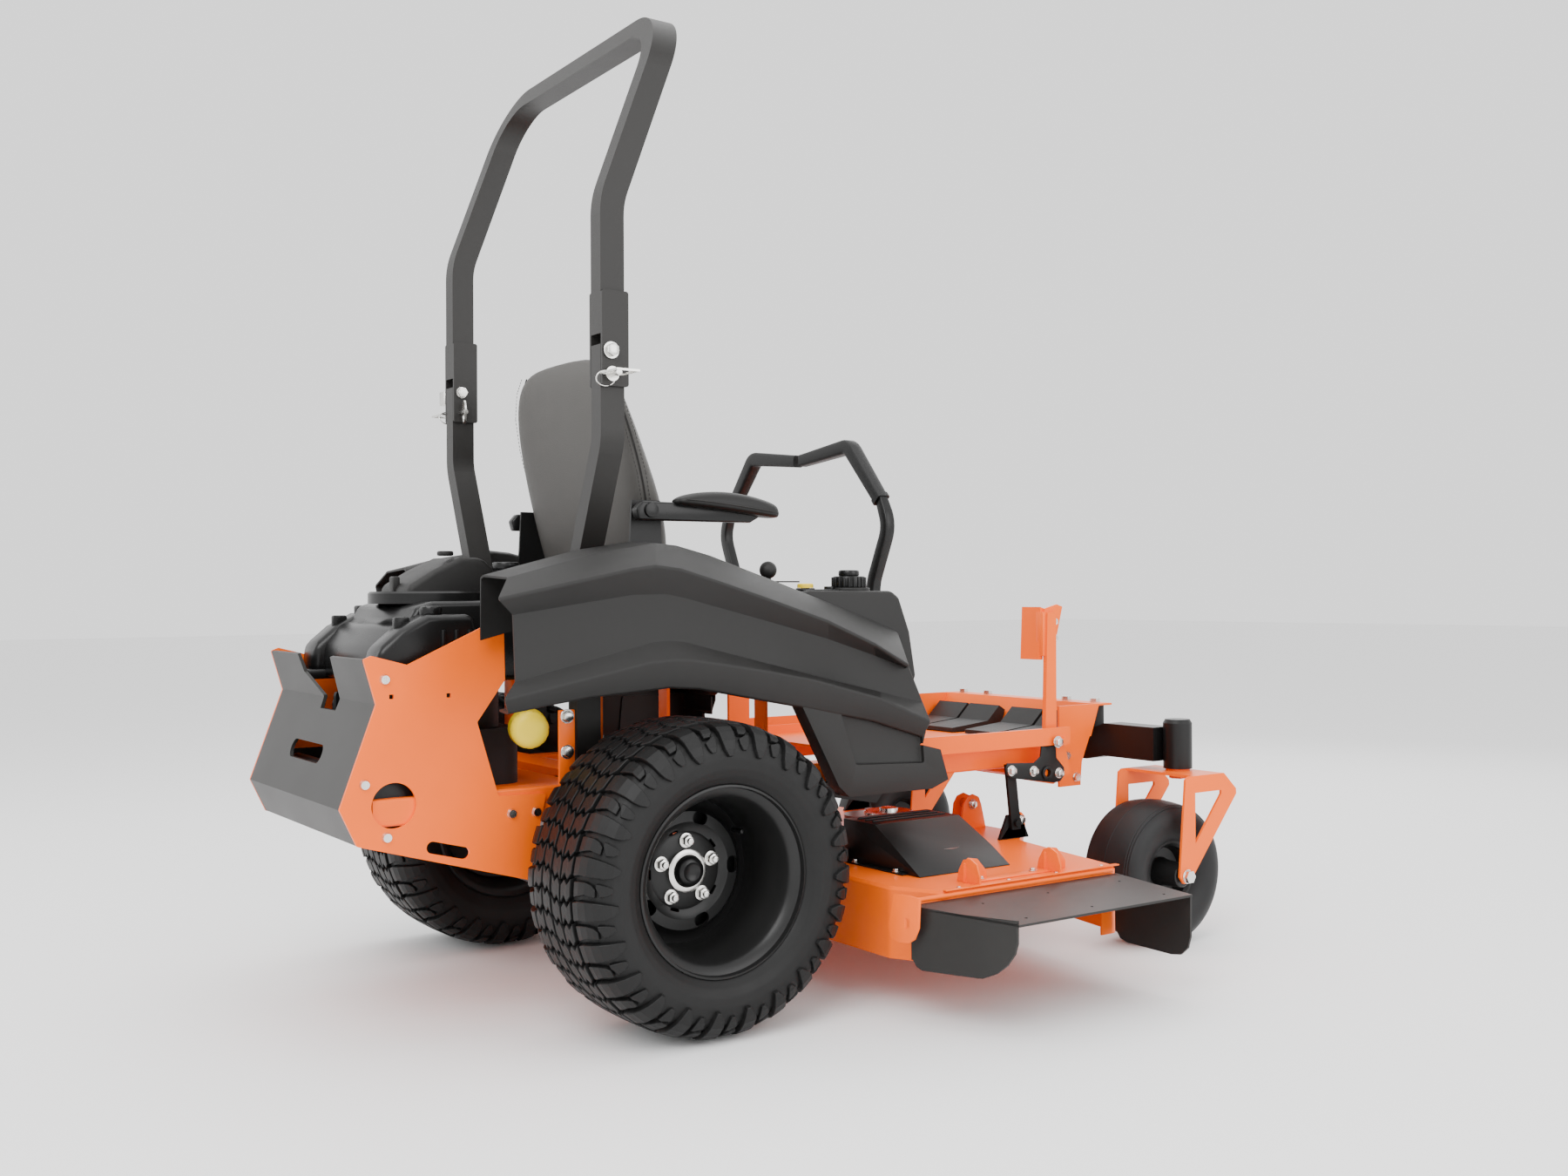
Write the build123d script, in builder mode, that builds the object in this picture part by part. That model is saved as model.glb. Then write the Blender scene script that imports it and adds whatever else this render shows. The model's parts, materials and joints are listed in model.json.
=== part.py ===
import os

from build123d import *

# Zero turn mower, millimetres. +X is forward, +Y is the operator's left, +Z is up.
# Row origin: ground level under the middle of the whole machine's box.

# driving dimensions: where the rear axle and the machine's own centreline lie
axle_x = -387.5
middle_y = 107.5

# drive wheels, 23 inch
drive_radius = 292.0
drive_centre = 472.0

# casters
caster_radius = 164.0
caster_pivot_x = 1323.0
caster_pivot_y = 490.0
caster_trail = 90.0

# frame
rail_outer = 282.0
rail_width = 50.0
rail_height = 50.0
rail_bottom = 402.0
rail_top = rail_bottom + rail_height
plate_thickness = 6.0
plate_inner = 282.0

# roll bar
leg_low = 260.0
leg_high = 364.0
bar_width = 38.0
bar_depth = 50.0
bar_middle = -117.0
bar_wall = 3.0
hinge_x = -124.0
hinge_z = 1276.0
hinge_bolt_radius = 8.0
running_gap = 0.05

# deck
deck_top = 240.0
deck_bottom = 100.0
deck_wall = 4.0
blade_radius = 226.0
spindles = {"left": (615.0, 435.0), "centre": (780.0, 0.0), "right": (615.0, -435.0)}

# lift linkage
lift_x = 1065.0
lift_z = 385.0
rear_lift_x = 540.0

# levers
lever_x = 578.0
lever_pivot_z = 600.0
swing_z = 800.0
swing_y = 280.0

hands = (("left", 1), ("right", -1))

os.makedirs("parts", exist_ok=True)


def side(y):
    # upright plane along the machine at y: local x runs ahead of the rear axle, local y is the height
    return Plane(origin=(axle_x, middle_y + y, 0), x_dir=(1, 0, 0), z_dir=(0, -1, 0))


def level(z):
    # flat plane at height z, centred over the rear axle
    return Plane(origin=(axle_x, middle_y, z))


def across(x):
    # upright plane across the machine: local x is the distance left of the centreline, local y is the height
    return Plane(origin=(axle_x + x, middle_y, 0), x_dir=(0, 1, 0), z_dir=(1, 0, 0))


def place(x, y, z):
    return Location((axle_x + x, middle_y + y, z))


centre_plane = Plane(origin=(axle_x, middle_y, 0), z_dir=(0, 1, 0))


def plate(points, y, thickness):
    # flat plate from an outline in the side plane, between y and y - thickness
    with BuildSketch(side(y)) as outline:
        Polygon(*points, align=None)
    extrude(outline.sketch, amount=thickness)


def rod(x, z, y, length, radius, mode=Mode.ADD):
    # round bar across the machine, from y towards the right
    with BuildSketch(side(y)) as disc:
        with Locations((x, z)):
            Circle(radius)
    extrude(disc.sketch, amount=length, mode=mode)


def hex_bolt(x, z, y, hand, across_flats, head):
    # hexagon head standing outwards from the face at y, with a washer under it
    with BuildSketch(side(y)) as washer:
        with Locations((x, z)):
            Circle(across_flats * 0.62)
    extrude(washer.sketch, amount=-hand * 2.0)
    with BuildSketch(side(y + hand * 2.0)) as hexagon:
        with Locations((x, z)):
            RegularPolygon(across_flats / 2, 6, major_radius=False)
    extrude(hexagon.sketch, amount=-hand * head)


# frame
rail_front = 1190.0
rail_rear = -545.0
for hand, sign in hands:
    rail_middle = sign * (rail_outer - rail_width / 2)
    with BuildPart() as frame_rail:
        with BuildSketch(across(rail_rear)):
            with Locations((rail_middle, (rail_bottom + rail_top) / 2)):
                RectangleRounded(rail_width, rail_height, 5)
                Rectangle(rail_width - 8, rail_height - 8, mode=Mode.SUBTRACT)
        extrude(amount=rail_front - rail_rear)
        # tower that carries the control lever's pivot
        with BuildSketch(level(rail_top)):
            with Locations((lever_x - 12, sign * 262)):
                Rectangle(60, 8)
        extrude(amount=168)
        rod(lever_x, lever_pivot_z, sign * 283.5, sign * 20, 14)
    frame_rail.part.label = f"{hand}_frame_rail"
    export_step(frame_rail.part, f"parts/{hand}_frame_rail.step")

cross_inner = 2 * (rail_outer - rail_width)
platform_z = 700.0
with BuildPart() as frame_cross_members:
    for x in (-498, 250, 1080):
        with BuildSketch(across(x)):
            with Locations((0, rail_bottom + 20)):
                Rectangle(cross_inner, 40)
                Rectangle(cross_inner, 32, mode=Mode.SUBTRACT)
        extrude(amount=50)
    # seat platform: a folded pan on two upright hoops
    with BuildSketch(side(230)):
        Polygon((-70, platform_z), (330, platform_z), (330, rail_top), (322, rail_top), (322, platform_z - 6),
                (-62, platform_z - 6), (-62, rail_top), (-70, rail_top), align=None)
    extrude(amount=460)
    with BuildSketch(across(-80)):
        with Locations((0, 570)):
            Rectangle(380, 200)
    extrude(amount=420, mode=Mode.SUBTRACT)
    # shelf under the engine
    with BuildSketch(level(rail_bottom + 36)):
        with Locations((-300, 0)):
            Rectangle(400, cross_inner)
    extrude(amount=6)
frame_cross_members.part.label = "frame_cross_members"
export_step(frame_cross_members.part, "parts/frame_cross_members.step")

# the outline of the rear side plates, which the bumper panel follows
side_outline = [(-563, 703), (-548, 709), (-482, 691), (-303, 773), (-297, 766), (-295, 657), (-350, 581),
                (-309, 442), (-212, 438), (-248, 278), (-575, 373), (-606, 440), (-540, 622)]
plate_bolts = [(-524, 666), (-561, 481), (-521, 384), (-282, 406), (-232, 405)]
tie_down_hole = (-508, 440)
tie_down_radius = 41.0
for hand, sign in hands:
    outer_y = sign * (plate_inner + plate_thickness)
    with BuildPart() as side_plate:
        plate(side_outline, max(outer_y, sign * plate_inner), plate_thickness)
        corners = side_plate.edges().filter_by(Axis.Y)
        fillet(corners, 4)
        rod(*tie_down_hole, outer_y, sign * 30, tie_down_radius, Mode.SUBTRACT)
        for x, z in plate_bolts:
            rod(x, z, outer_y, sign * 30, 6.5, Mode.SUBTRACT)
        with BuildSketch(side(outer_y)):
            for x, z in ((-512, 635), (-405, 633)):
                with Locations((x, z)):
                    Rectangle(8, 8)
            with Locations(Location((-407, 350), -15)):
                SlotOverall(84, 22)
        extrude(amount=sign * 30, mode=Mode.SUBTRACT)
    side_plate.part.label = f"{hand}_side_plate"
    export_step(side_plate.part, f"parts/{hand}_side_plate.step")

with BuildPart() as rear_bumper:
    with BuildSketch(side(plate_inner)):
        Polygon((-563, 702), (-540, 622), (-606, 440), (-575, 374), (-569, 376), (-599, 440), (-533, 622),
                (-557, 704), align=None)
    extrude(amount=2 * plate_inner)
    with BuildSketch(across(-620)):
        Polygon((104, 720), (90, 668), (8, 625), (4, 600), (-85, 600), (-95, 668), (-105, 720), align=None)
    extrude(amount=120, mode=Mode.SUBTRACT)
    # long hand-hold slot with rounded ends
    with BuildSketch(across(-620)):
        with Locations((0, 520)):
            SlotOverall(190, 34)
    extrude(amount=120, mode=Mode.SUBTRACT)
    # hitch plate with its pin hole
    with BuildSketch(level(rail_bottom - 12)):
        with Locations((-546, 0)):
            Rectangle(68, 140)
        with Locations((-548, 0)):
            Circle(9.5, mode=Mode.SUBTRACT)
    extrude(amount=8)
rear_bumper.part.label = "rear_bumper"
export_step(rear_bumper.part, "parts/rear_bumper.step")

with BuildPart() as chassis_bolts:
    for hand, sign in hands:
        outer_y = sign * (plate_inner + plate_thickness)
        for x, z in plate_bolts:
            with BuildSketch(side(outer_y)):
                with Locations((x, z)):
                    Circle(10)
            extrude(amount=-sign * 5, taper=25)
            rod(x, z, outer_y, sign * plate_thickness, 6)
        hex_bolt(1184, 366, sign * 290, sign, 17, 8)
        hex_bolt(1150, 420, sign * 290, sign, 17, 8)
        for y in (150, 250):
            with BuildSketch(level(540)):
                with Locations((1292, sign * y)):
                    RegularPolygon(11, 6, major_radius=False)
            extrude(amount=10)
chassis_bolts.part.label = "chassis_bolts"
export_step(chassis_bolts.part, "parts/chassis_bolts.step")

# foot well: floor, front wall with its top flange and two side walls
with BuildPart() as foot_well:
    with BuildSketch(side(290)):
        Polygon((600, 458), (1120, 458), (1232, 468), (1260, 540), (1310, 540), (1310, 535), (1265, 535),
                (1238, 462), (1122, 453), (600, 453), align=None)
    extrude(amount=580)
    for sign in (1, -1):
        plate([(1130, 345), (1200, 345), (1206, 402), (1265, 534), (1260, 540), (1130, 540)],
              290 if sign > 0 else -284, 6)
        plate([(600, 453), (1130, 453), (1130, 480), (600, 480)], 290 if sign > 0 else -284, 6)
    with BuildSketch(across(1195)):
        with Locations((0, 380)):
            Rectangle(580, 70)
    extrude(amount=6)
foot_well.part.label = "foot_well"
export_step(foot_well.part, "parts/foot_well.step")

with BuildPart() as foot_rests:
    for sign in (1, -1):
        for near, far in ((24, 140), (150, 266)):
            with BuildSketch(side(max(sign * near, sign * far))):
                Polygon((1060, 460), (1120, 460), (1226, 470), (1240, 508), (1220, 520), (1180, 482), (1060, 470),
                        align=None)
            extrude(amount=far - near)
foot_rests.part.label = "foot_rests"
export_step(foot_rests.part, "parts/foot_rests.step")

with BuildPart() as front_axle_beam:
    with BuildSketch(across(1272)):
        Polygon((-240, 400), (240, 400), (300, 412), (460, 412), (460, 492), (300, 492), (240, 470), (-240, 470),
                (-300, 492), (-460, 492), (-460, 412), (-300, 412), align=None)
    extrude(amount=60)
    for sign in (1, -1):
        with BuildSketch(level(396)):
            with Locations((caster_pivot_x, sign * caster_pivot_y)):
                Circle(34)
        extrude(amount=107)
        with BuildSketch(level(503)):
            with Locations((caster_pivot_x, sign * caster_pivot_y)):
                Circle(34)
        extrude(amount=9, taper=30)
        with BuildSketch(level(396)):
            with Locations((caster_pivot_x, sign * caster_pivot_y)):
                Circle(15 + running_gap)
        extrude(amount=96, mode=Mode.SUBTRACT)
front_axle_beam.part.label = "front_axle_beam"
export_step(front_axle_beam.part, "parts/front_axle_beam.step")

with BuildPart() as axle_isolators:
    for y in (-250, -150, 150, 250):
        with BuildSketch(level(470.2)):
            with Locations((1292, y)):
                Circle(22)
        extrude(amount=64.6)
    axle_isolators.part = axle_isolators.part - front_axle_beam.part
axle_isolators.part.label = "axle_isolators"
export_step(axle_isolators.part, "parts/axle_isolators.step")

# fenders: moulded covers that arch over the drive wheels and carry the side consoles
fender_top = [(-388, 625), (-366, 845), (-69, 908), (-24, 903), (119, 863), (323, 820), (517, 816), (558, 733),
              (610, 560), (606, 424), (558, 408), (346, 408), (319, 431), (231, 596), (0, 641), (-65, 646)]
fender_hollow = [(-383, 560), (-361, 840), (-69, 903), (-24, 898), (119, 858), (323, 815), (513, 811), (553, 733),
                 (604, 560), (600, 429), (586, 380), (300, 380), (0, 560)]
fender_outer = 510.0
fender_inner = 318.0
fender_wall = 5.0
left_fender_rear = -262.0
for hand, sign in hands:
    with BuildPart() as fender:
        with BuildSketch(side(sign * fender_outer)):
            Polygon(*fender_top, align=None)
        extrude(amount=sign * (fender_outer - fender_inner))
        with BuildSketch(side(sign * (fender_outer - fender_wall))):
            Polygon(*fender_hollow, align=None)
        extrude(amount=sign * 240, mode=Mode.SUBTRACT)
        # slot where the lift link passes under the console
        with BuildSketch(side(sign * 372)):
            with Locations((600, 455)):
                Rectangle(120, 116)
        extrude(amount=sign * 80, mode=Mode.SUBTRACT)
        # the left fender ends further forward than the right one
        if hand == "left":
            with BuildSketch(side(fender_outer + 20)):
                Polygon((-420, 560), (left_fender_rear, 560), (left_fender_rear, 960), (-420, 960), align=None)
            extrude(amount=240, mode=Mode.SUBTRACT)
    fender.part.label = f"{hand}_fender"
    export_step(fender.part, f"parts/{hand}_fender.step")

# roll bar
with BuildPart() as rops_legs:
    for inset, mode in ((0, Mode.ADD), (bar_wall, Mode.SUBTRACT)):
        stretch = 2 * inset
        with BuildSketch(across(bar_middle - bar_depth / 2 + inset)):
            with BuildLine():
                FilletPolyline((leg_low, rail_top + 1 - stretch), (leg_low, 875), (leg_high, 1107),
                               (leg_high, 1288 + stretch), radius=90)
            trace(line_width=bar_width - 2 * inset)
        extrude(amount=bar_depth - 2 * inset, mode=mode)
    mirror(about=centre_plane)
    for sign in (1, -1):
        rod(hinge_x, hinge_z, leg_high * sign + 60, 120, hinge_bolt_radius + running_gap, Mode.SUBTRACT)
rops_legs.part.label = "rops_legs"
export_step(rops_legs.part, "parts/rops_legs.step")

hoop_width = 40.0
hoop_top = 1968.0
hoop_foot = 1308.0
bend_z = 1563.0
lean = 150.0
corner_radius = 110.0


def bent_hoop(width, depth, overshoot):
    # the front outline of the bent tube, cut to its side outline, which leans forward above the bend
    crossbar_z = hoop_top - hoop_width / 2 + 1
    foot = hoop_foot - overshoot
    with BuildPart() as bent:
        with BuildSketch(across(-300)):
            with BuildLine():
                FilletPolyline((leg_high, foot), (leg_high, crossbar_z), (-leg_high, crossbar_z),
                               (-leg_high, foot), radius=corner_radius)
            trace(line_width=width)
        extrude(amount=600)
        with BuildSketch(side(450)):
            with BuildLine():
                FilletPolyline((bar_middle, foot), (bar_middle, bend_z),
                               (bar_middle + lean * 1.12, bend_z + (hoop_top - bend_z) * 1.12), radius=160)
            trace(line_width=depth)
        extrude(amount=900, mode=Mode.INTERSECT)
    return bent.part


hoop_inside = bent_hoop(hoop_width - 2 * bar_wall, bar_depth - 2 * bar_wall, 20)
bracket_rear = -142.0
bracket_front = -86.0
with BuildPart() as rops_hoop:
    add(bent_hoop(hoop_width, bar_depth, 0))
    add(hoop_inside, mode=Mode.SUBTRACT)
    for sign in (1, -1):
        for face in (leg_high - hoop_width / 2, leg_high + hoop_width / 2 + 6):
            with BuildSketch(side(face if sign > 0 else -face + 6)):
                with Locations(((bracket_rear + bracket_front) / 2, 1299.5)):
                    RectangleRounded(bracket_front - bracket_rear, 181, 5)
            extrude(amount=6)
        rod(hinge_x, hinge_z, sign * leg_high + 60, 120, hinge_bolt_radius, Mode.SUBTRACT)
        rod(hinge_x, 1231, sign * leg_high + 60, 120, 6.2, Mode.SUBTRACT)
rops_hoop.part.label = "rops_hoop"
export_step(rops_hoop.part, "parts/rops_hoop.step")

# hinge bolts, and the lock pins with their pull rings and hairpin clips
with BuildPart() as rops_pins:
    for sign in (1, -1):
        outer_y = sign * (leg_high + 26)
        inner_y = sign * (leg_high - 26)
        rod(hinge_x, hinge_z, leg_high * sign + 38, 76, hinge_bolt_radius - 0.05)
        hex_bolt(hinge_x, hinge_z, outer_y, sign, 20, 8)
        hex_bolt(hinge_x, hinge_z, inner_y, -sign, 20, 8)
        # lock pin: a stub through each bracket plate, a collar outside and a bail
        rod(hinge_x, 1231, outer_y + sign * 34, sign * 39.4, 6)
        rod(hinge_x, 1231, inner_y - sign * 24, -sign * 29.4, 6)
        rod(hinge_x, 1231, outer_y + sign * 8, sign * 8, 14)
        with BuildSketch(level(1229)):
            with Locations((hinge_x, outer_y + sign * 37)):
                Rectangle(48, 66)
                Rectangle(42, 60, mode=Mode.SUBTRACT)
        extrude(amount=4)
        with BuildSketch(across(hinge_x - 2)):
            with Locations((inner_y - sign * 16, 1231)):
                Ellipse(9, 26)
                Ellipse(6, 23, mode=Mode.SUBTRACT)
        extrude(amount=4)
rops_pins.part.label = "rops_pins"
export_step(rops_pins.part, "parts/rops_pins.step")

# engine, drives and other fixed pieces
engine_x = -330.0
with BuildPart() as engine_block:
    with BuildSketch(level(rail_bottom + 42)):
        with Locations((engine_x, 0)):
            RectangleRounded(270, 300, 40)
    extrude(amount=110)
    with BuildSketch(level(rail_bottom + 152)):
        with Locations((engine_x, 0)):
            RectangleRounded(230, 240, 60)
    extrude(amount=70)
    # two finned cylinders in a vee that opens towards the rear
    for sign in (1, -1):
        lean_angle = sign * -40
        axis_plane = Plane(origin=(axle_x + engine_x, middle_y, 560),
                           z_dir=Vector(-1, 0, 0).rotate(Axis.Z, lean_angle))
        with BuildSketch(axis_plane.offset(90)):
            RectangleRounded(100, 100, 8)
        extrude(amount=92)
        for step in range(5):
            with BuildSketch(axis_plane.offset(104 + step * 16)):
                RectangleRounded(132, 132, 10)
            extrude(amount=5)
engine_block.part.label = "engine_block"
export_step(engine_block.part, "parts/engine_block.step")

with BuildPart() as blower_housing:
    with BuildSketch(level(640)):
        with BuildLine():
            Polyline((-150, 170), (-150, -170), (-300, -215), (-470, -215), (-530, -150), (-520, 0), (-530, 150),
                     (-470, 215), (-300, 215), (-150, 170))
        make_face()
    extrude(amount=128)
    fillet(blower_housing.edges().filter_by(Axis.Z), 22)
    chamfer(blower_housing.faces().sort_by(Axis.Z)[-1].edges(), 14)
    with BuildSketch(level(640)):
        with Locations((engine_x, 0)):
            RectangleRounded(300, 330, 30)
    extrude(amount=118, mode=Mode.SUBTRACT)
    with BuildSketch(level(768)):
        with Locations((engine_x, 0)):
            Circle(132)
    extrude(amount=36)
    with BuildSketch(level(740)):
        with Locations((engine_x, 0)):
            Circle(124)
    extrude(amount=58, mode=Mode.SUBTRACT)
    with BuildSketch(level(798)):
        for ring in (100, 74, 48):
            with Locations((engine_x, 0)):
                with PolarLocations(ring, 12):
                    SlotOverall(24, 9)
    extrude(amount=8, mode=Mode.SUBTRACT)
blower_housing.part.label = "blower_housing"
export_step(blower_housing.part, "parts/blower_housing.step")

with BuildPart() as air_cleaner:
    with BuildSketch(side(250)):
        Polygon((-390, 806), (-350, 866), (-290, 893), (-190, 893), (-160, 872), (-160, 806), align=None)
    extrude(amount=180)
    fillet(air_cleaner.edges().filter_by(Axis.Y), 8)
    chamfer(air_cleaner.faces().sort_by(Axis.Y)[0].edges(), 6)
    chamfer(air_cleaner.faces().sort_by(Axis.Y)[-1].edges(), 6)
air_cleaner.part.label = "air_cleaner"
export_step(air_cleaner.part, "parts/air_cleaner.step")

with BuildPart() as muffler:
    with BuildSketch(side(170)):
        with Locations((-543, 456)):
            Ellipse(24, 44)
    extrude(amount=340)
    with BuildSketch(side(-165)):
        with Locations((-543, 440)):
            Circle(17)
            Circle(15, mode=Mode.SUBTRACT)
    extrude(amount=60)
    for y in (-80, 80):
        with BuildSketch(side(y + 14)):
            Polygon((-530, 478), (-466, 478), (-466, 490), (-530, 490), align=None)
        extrude(amount=28)
muffler.part.label = "muffler"
export_step(muffler.part, "parts/muffler.step")

with BuildPart() as oil_filter:
    rod(-234, 560, -230, 62, 36)
    fillet(oil_filter.edges().sort_by(Axis.Y)[0], 8)
    rod(-234, 560, -152, 78, 28)
oil_filter.part.label = "oil_filter"
export_step(oil_filter.part, "parts/oil_filter.step")

with BuildPart() as hydro_drives:
    with BuildSketch(side(232)):
        Polygon((-95, 215), (-60, 190), (60, 190), (95, 230), (95, 340), (60, 398), (-90, 398), (-120, 350),
                align=None)
    extrude(amount=180)
    with BuildSketch(side(312)):
        with Locations((0, 292)):
            Circle(52)
    extrude(amount=80)
    rod(0, 292, 440, 128, 18)
    with BuildSketch(side(437)):
        with Locations((0, 292)):
            Circle(66)
    extrude(amount=11)
    with BuildSketch(level(398)):
        with Locations((-20, 140)):
            Circle(48)
    extrude(amount=4)
    mirror(about=centre_plane)
hydro_drives.part.label = "hydro_drives"
export_step(hydro_drives.part, "parts/hydro_drives.step")

with BuildPart() as fuel_caps:
    for sign in (1, -1):
        with BuildSketch(level(820)):
            with Locations((443, sign * 372)):
                Circle(38)
                with PolarLocations(38, 16):
                    Circle(3, mode=Mode.SUBTRACT)
        extrude(amount=30)
        with BuildSketch(level(850)):
            with Locations((443, sign * 372)):
                Circle(30)
        extrude(amount=17, taper=8)
fuel_caps.part.label = "fuel_caps"
export_step(fuel_caps.part, "parts/fuel_caps.step")

# drive wheels
for hand, sign in hands:
    wheel_axis = Axis((axle_x, 0, drive_radius), (0, 1, 0))
    centre = sign * drive_centre
    with BuildPart() as drive_tyre:
        with BuildSketch(Plane(origin=(axle_x, middle_y + centre, drive_radius), x_dir=(0, 1, 0),
                               z_dir=(1, 0, 0))):
            with BuildLine():
                Polyline((-112, 172), (-132, 196), (-140, 236), (-138, 262), (-118, 286))
                ThreePointArc((-118, 286), (0, 292), (118, 286))
                Polyline((118, 286), (138, 262), (140, 236), (132, 196), (112, 172), (104, 172), (116, 200),
                         (122, 240), (104, 268), (-104, 268), (-122, 240), (-116, 200), (-104, 172), (-112, 172))
            make_face()
        revolve(axis=wheel_axis)
    drive_tyre.part.label = f"{hand}_drive_tyre"
    export_step(drive_tyre.part, f"parts/{hand}_drive_tyre.step")

    # rim barrel with rolled lips and a dished disc that bolts to the hub
    with BuildPart() as drive_rim:
        with BuildSketch(Plane(origin=(axle_x, middle_y + centre, drive_radius), x_dir=(0, sign, 0),
                               z_dir=(sign, 0, 0))):
            Polygon((-116, 171.7), (-116, 176), (-120, 176), (-120, 166), (-100, 148), (-46, 140), (-41, 124),
                    (-34, 120), (-34, 66), (-31.5, 60), (-31.5, 33), (-26, 33), (-26, 78), (-28, 122), (-36, 142),
                    (40, 142), (100, 152), (120, 166), (120, 176), (116, 176), (116, 171.7), (100, 162), (60, 150),
                    (-90, 155), (-100, 162), align=None)
        revolve(axis=wheel_axis)
        disc_face = Plane(origin=(axle_x, middle_y + centre - sign * 60, drive_radius), x_dir=(1, 0, 0),
                          z_dir=(0, sign, 0))
        with BuildSketch(disc_face):
            with PolarLocations(57.15, 5, start_angle=90):
                Circle(7)
            with PolarLocations(102, 5, start_angle=54):
                SlotOverall(36, 18, rotation=90)
        extrude(amount=50, mode=Mode.SUBTRACT)
    drive_rim.part.label = f"{hand}_drive_rim"
    export_step(drive_rim.part, f"parts/{hand}_drive_rim.step")

    with BuildPart() as wheel_nuts:
        hub_face = Plane(origin=(axle_x, middle_y + centre - sign * 26, drive_radius), x_dir=(1, 0, 0),
                         z_dir=(0, sign, 0))
        with BuildSketch(hub_face):
            with PolarLocations(57.15, 5, start_angle=90):
                RegularPolygon(10, 6, major_radius=False)
        extrude(amount=15)
        with BuildSketch(hub_face.offset(-5.4)):
            with PolarLocations(57.15, 5, start_angle=90):
                Circle(6.5)
        extrude(amount=5.4)
        with BuildSketch(hub_face):
            Circle(41)
            Circle(29, mode=Mode.SUBTRACT)
        extrude(amount=6)
        with BuildSketch(hub_face.offset(5)):
            Circle(30)
        extrude(amount=16, taper=4)
    wheel_nuts.part.label = f"{hand}_wheel_nuts"
    export_step(wheel_nuts.part, f"parts/{hand}_wheel_nuts.step")

# casters
caster_x = caster_pivot_x - caster_trail
for hand, sign in hands:
    caster_axis = Axis((axle_x + caster_x, 0, caster_radius), (0, 1, 0))
    pivot_y = sign * caster_pivot_y
    with BuildPart() as caster_fork:
        for arm in (1, -1):
            arm_y = pivot_y + arm * 100 + (6 if arm > 0 else 0)
            with BuildSketch(side(arm_y)):
                Polygon((1209, 164), (1222, 148), (1240, 148), (1250, 158), (1405, 340), (1404, 352), (1362, 391),
                        (1242, 391), (1230, 384), align=None)
                Polygon((1262, 236), (1262, 352), (1352, 352), (1352, 344), align=None, mode=Mode.SUBTRACT)
                with Locations((caster_x, caster_radius)):
                    Circle(9.5, mode=Mode.SUBTRACT)
            extrude(amount=6)
        with BuildSketch(level(385)):
            with Locations((1310, pivot_y)):
                Rectangle(104, 212)
        extrude(amount=6)
        with BuildSketch(level(391)):
            with Locations((caster_pivot_x, pivot_y)):
                Circle(28)
        extrude(amount=4.6)
        with BuildSketch(level(388)):
            with Locations((caster_pivot_x, pivot_y)):
                Circle(15)
        extrude(amount=102)
        with BuildSketch(level(372)):
            with Locations((caster_pivot_x, pivot_y)):
                RegularPolygon(18, 6, major_radius=False)
        extrude(amount=13)
    caster_fork.part.label = f"{hand}_caster_fork"
    export_step(caster_fork.part, f"parts/{hand}_caster_fork.step")

    with BuildPart() as caster_axle:
        rod(caster_x, caster_radius, pivot_y + 114, 228, 9.5)
        for arm in (1, -1):
            hex_bolt(caster_x, caster_radius, pivot_y + arm * 106, arm, 26, 10)
    caster_axle.part.label = f"{hand}_caster_axle"
    export_step(caster_axle.part, f"parts/{hand}_caster_axle.step")

    tyre_plane = Plane(origin=(axle_x + caster_x, middle_y + pivot_y, caster_radius), x_dir=(0, 1, 0),
                       z_dir=(1, 0, 0))
    with BuildPart() as caster_tyre:
        with BuildSketch(tyre_plane):
            with BuildLine():
                Line((-60, 76), (-76, 100))
                ThreePointArc((-76, 100), (-78, 132), (-56, 155))
                ThreePointArc((-56, 155), (0, 164), (56, 155))
                ThreePointArc((56, 155), (78, 132), (76, 100))
                Polyline((76, 100), (60, 76), (50, 76), (60, 102), (48, 138), (-48, 138), (-60, 102), (-50, 76),
                         (-60, 76))
            make_face()
        revolve(axis=caster_axis)
    caster_tyre.part.label = f"{hand}_caster_tyre"
    export_step(caster_tyre.part, f"parts/{hand}_caster_tyre.step")

    with BuildPart() as caster_hub:
        with BuildSketch(tyre_plane):
            Polygon((-60, 75.7), (-60, 66), (-22, 52), (-22, 30), (-94, 26), (-94, 9.57), (94, 9.57), (94, 26),
                    (22, 30), (22, 52), (60, 66), (60, 75.7), align=None)
        revolve(axis=caster_axis)
    caster_hub.part.label = f"{hand}_caster_hub"
    export_step(caster_hub.part, f"parts/{hand}_caster_hub.step")

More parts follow.
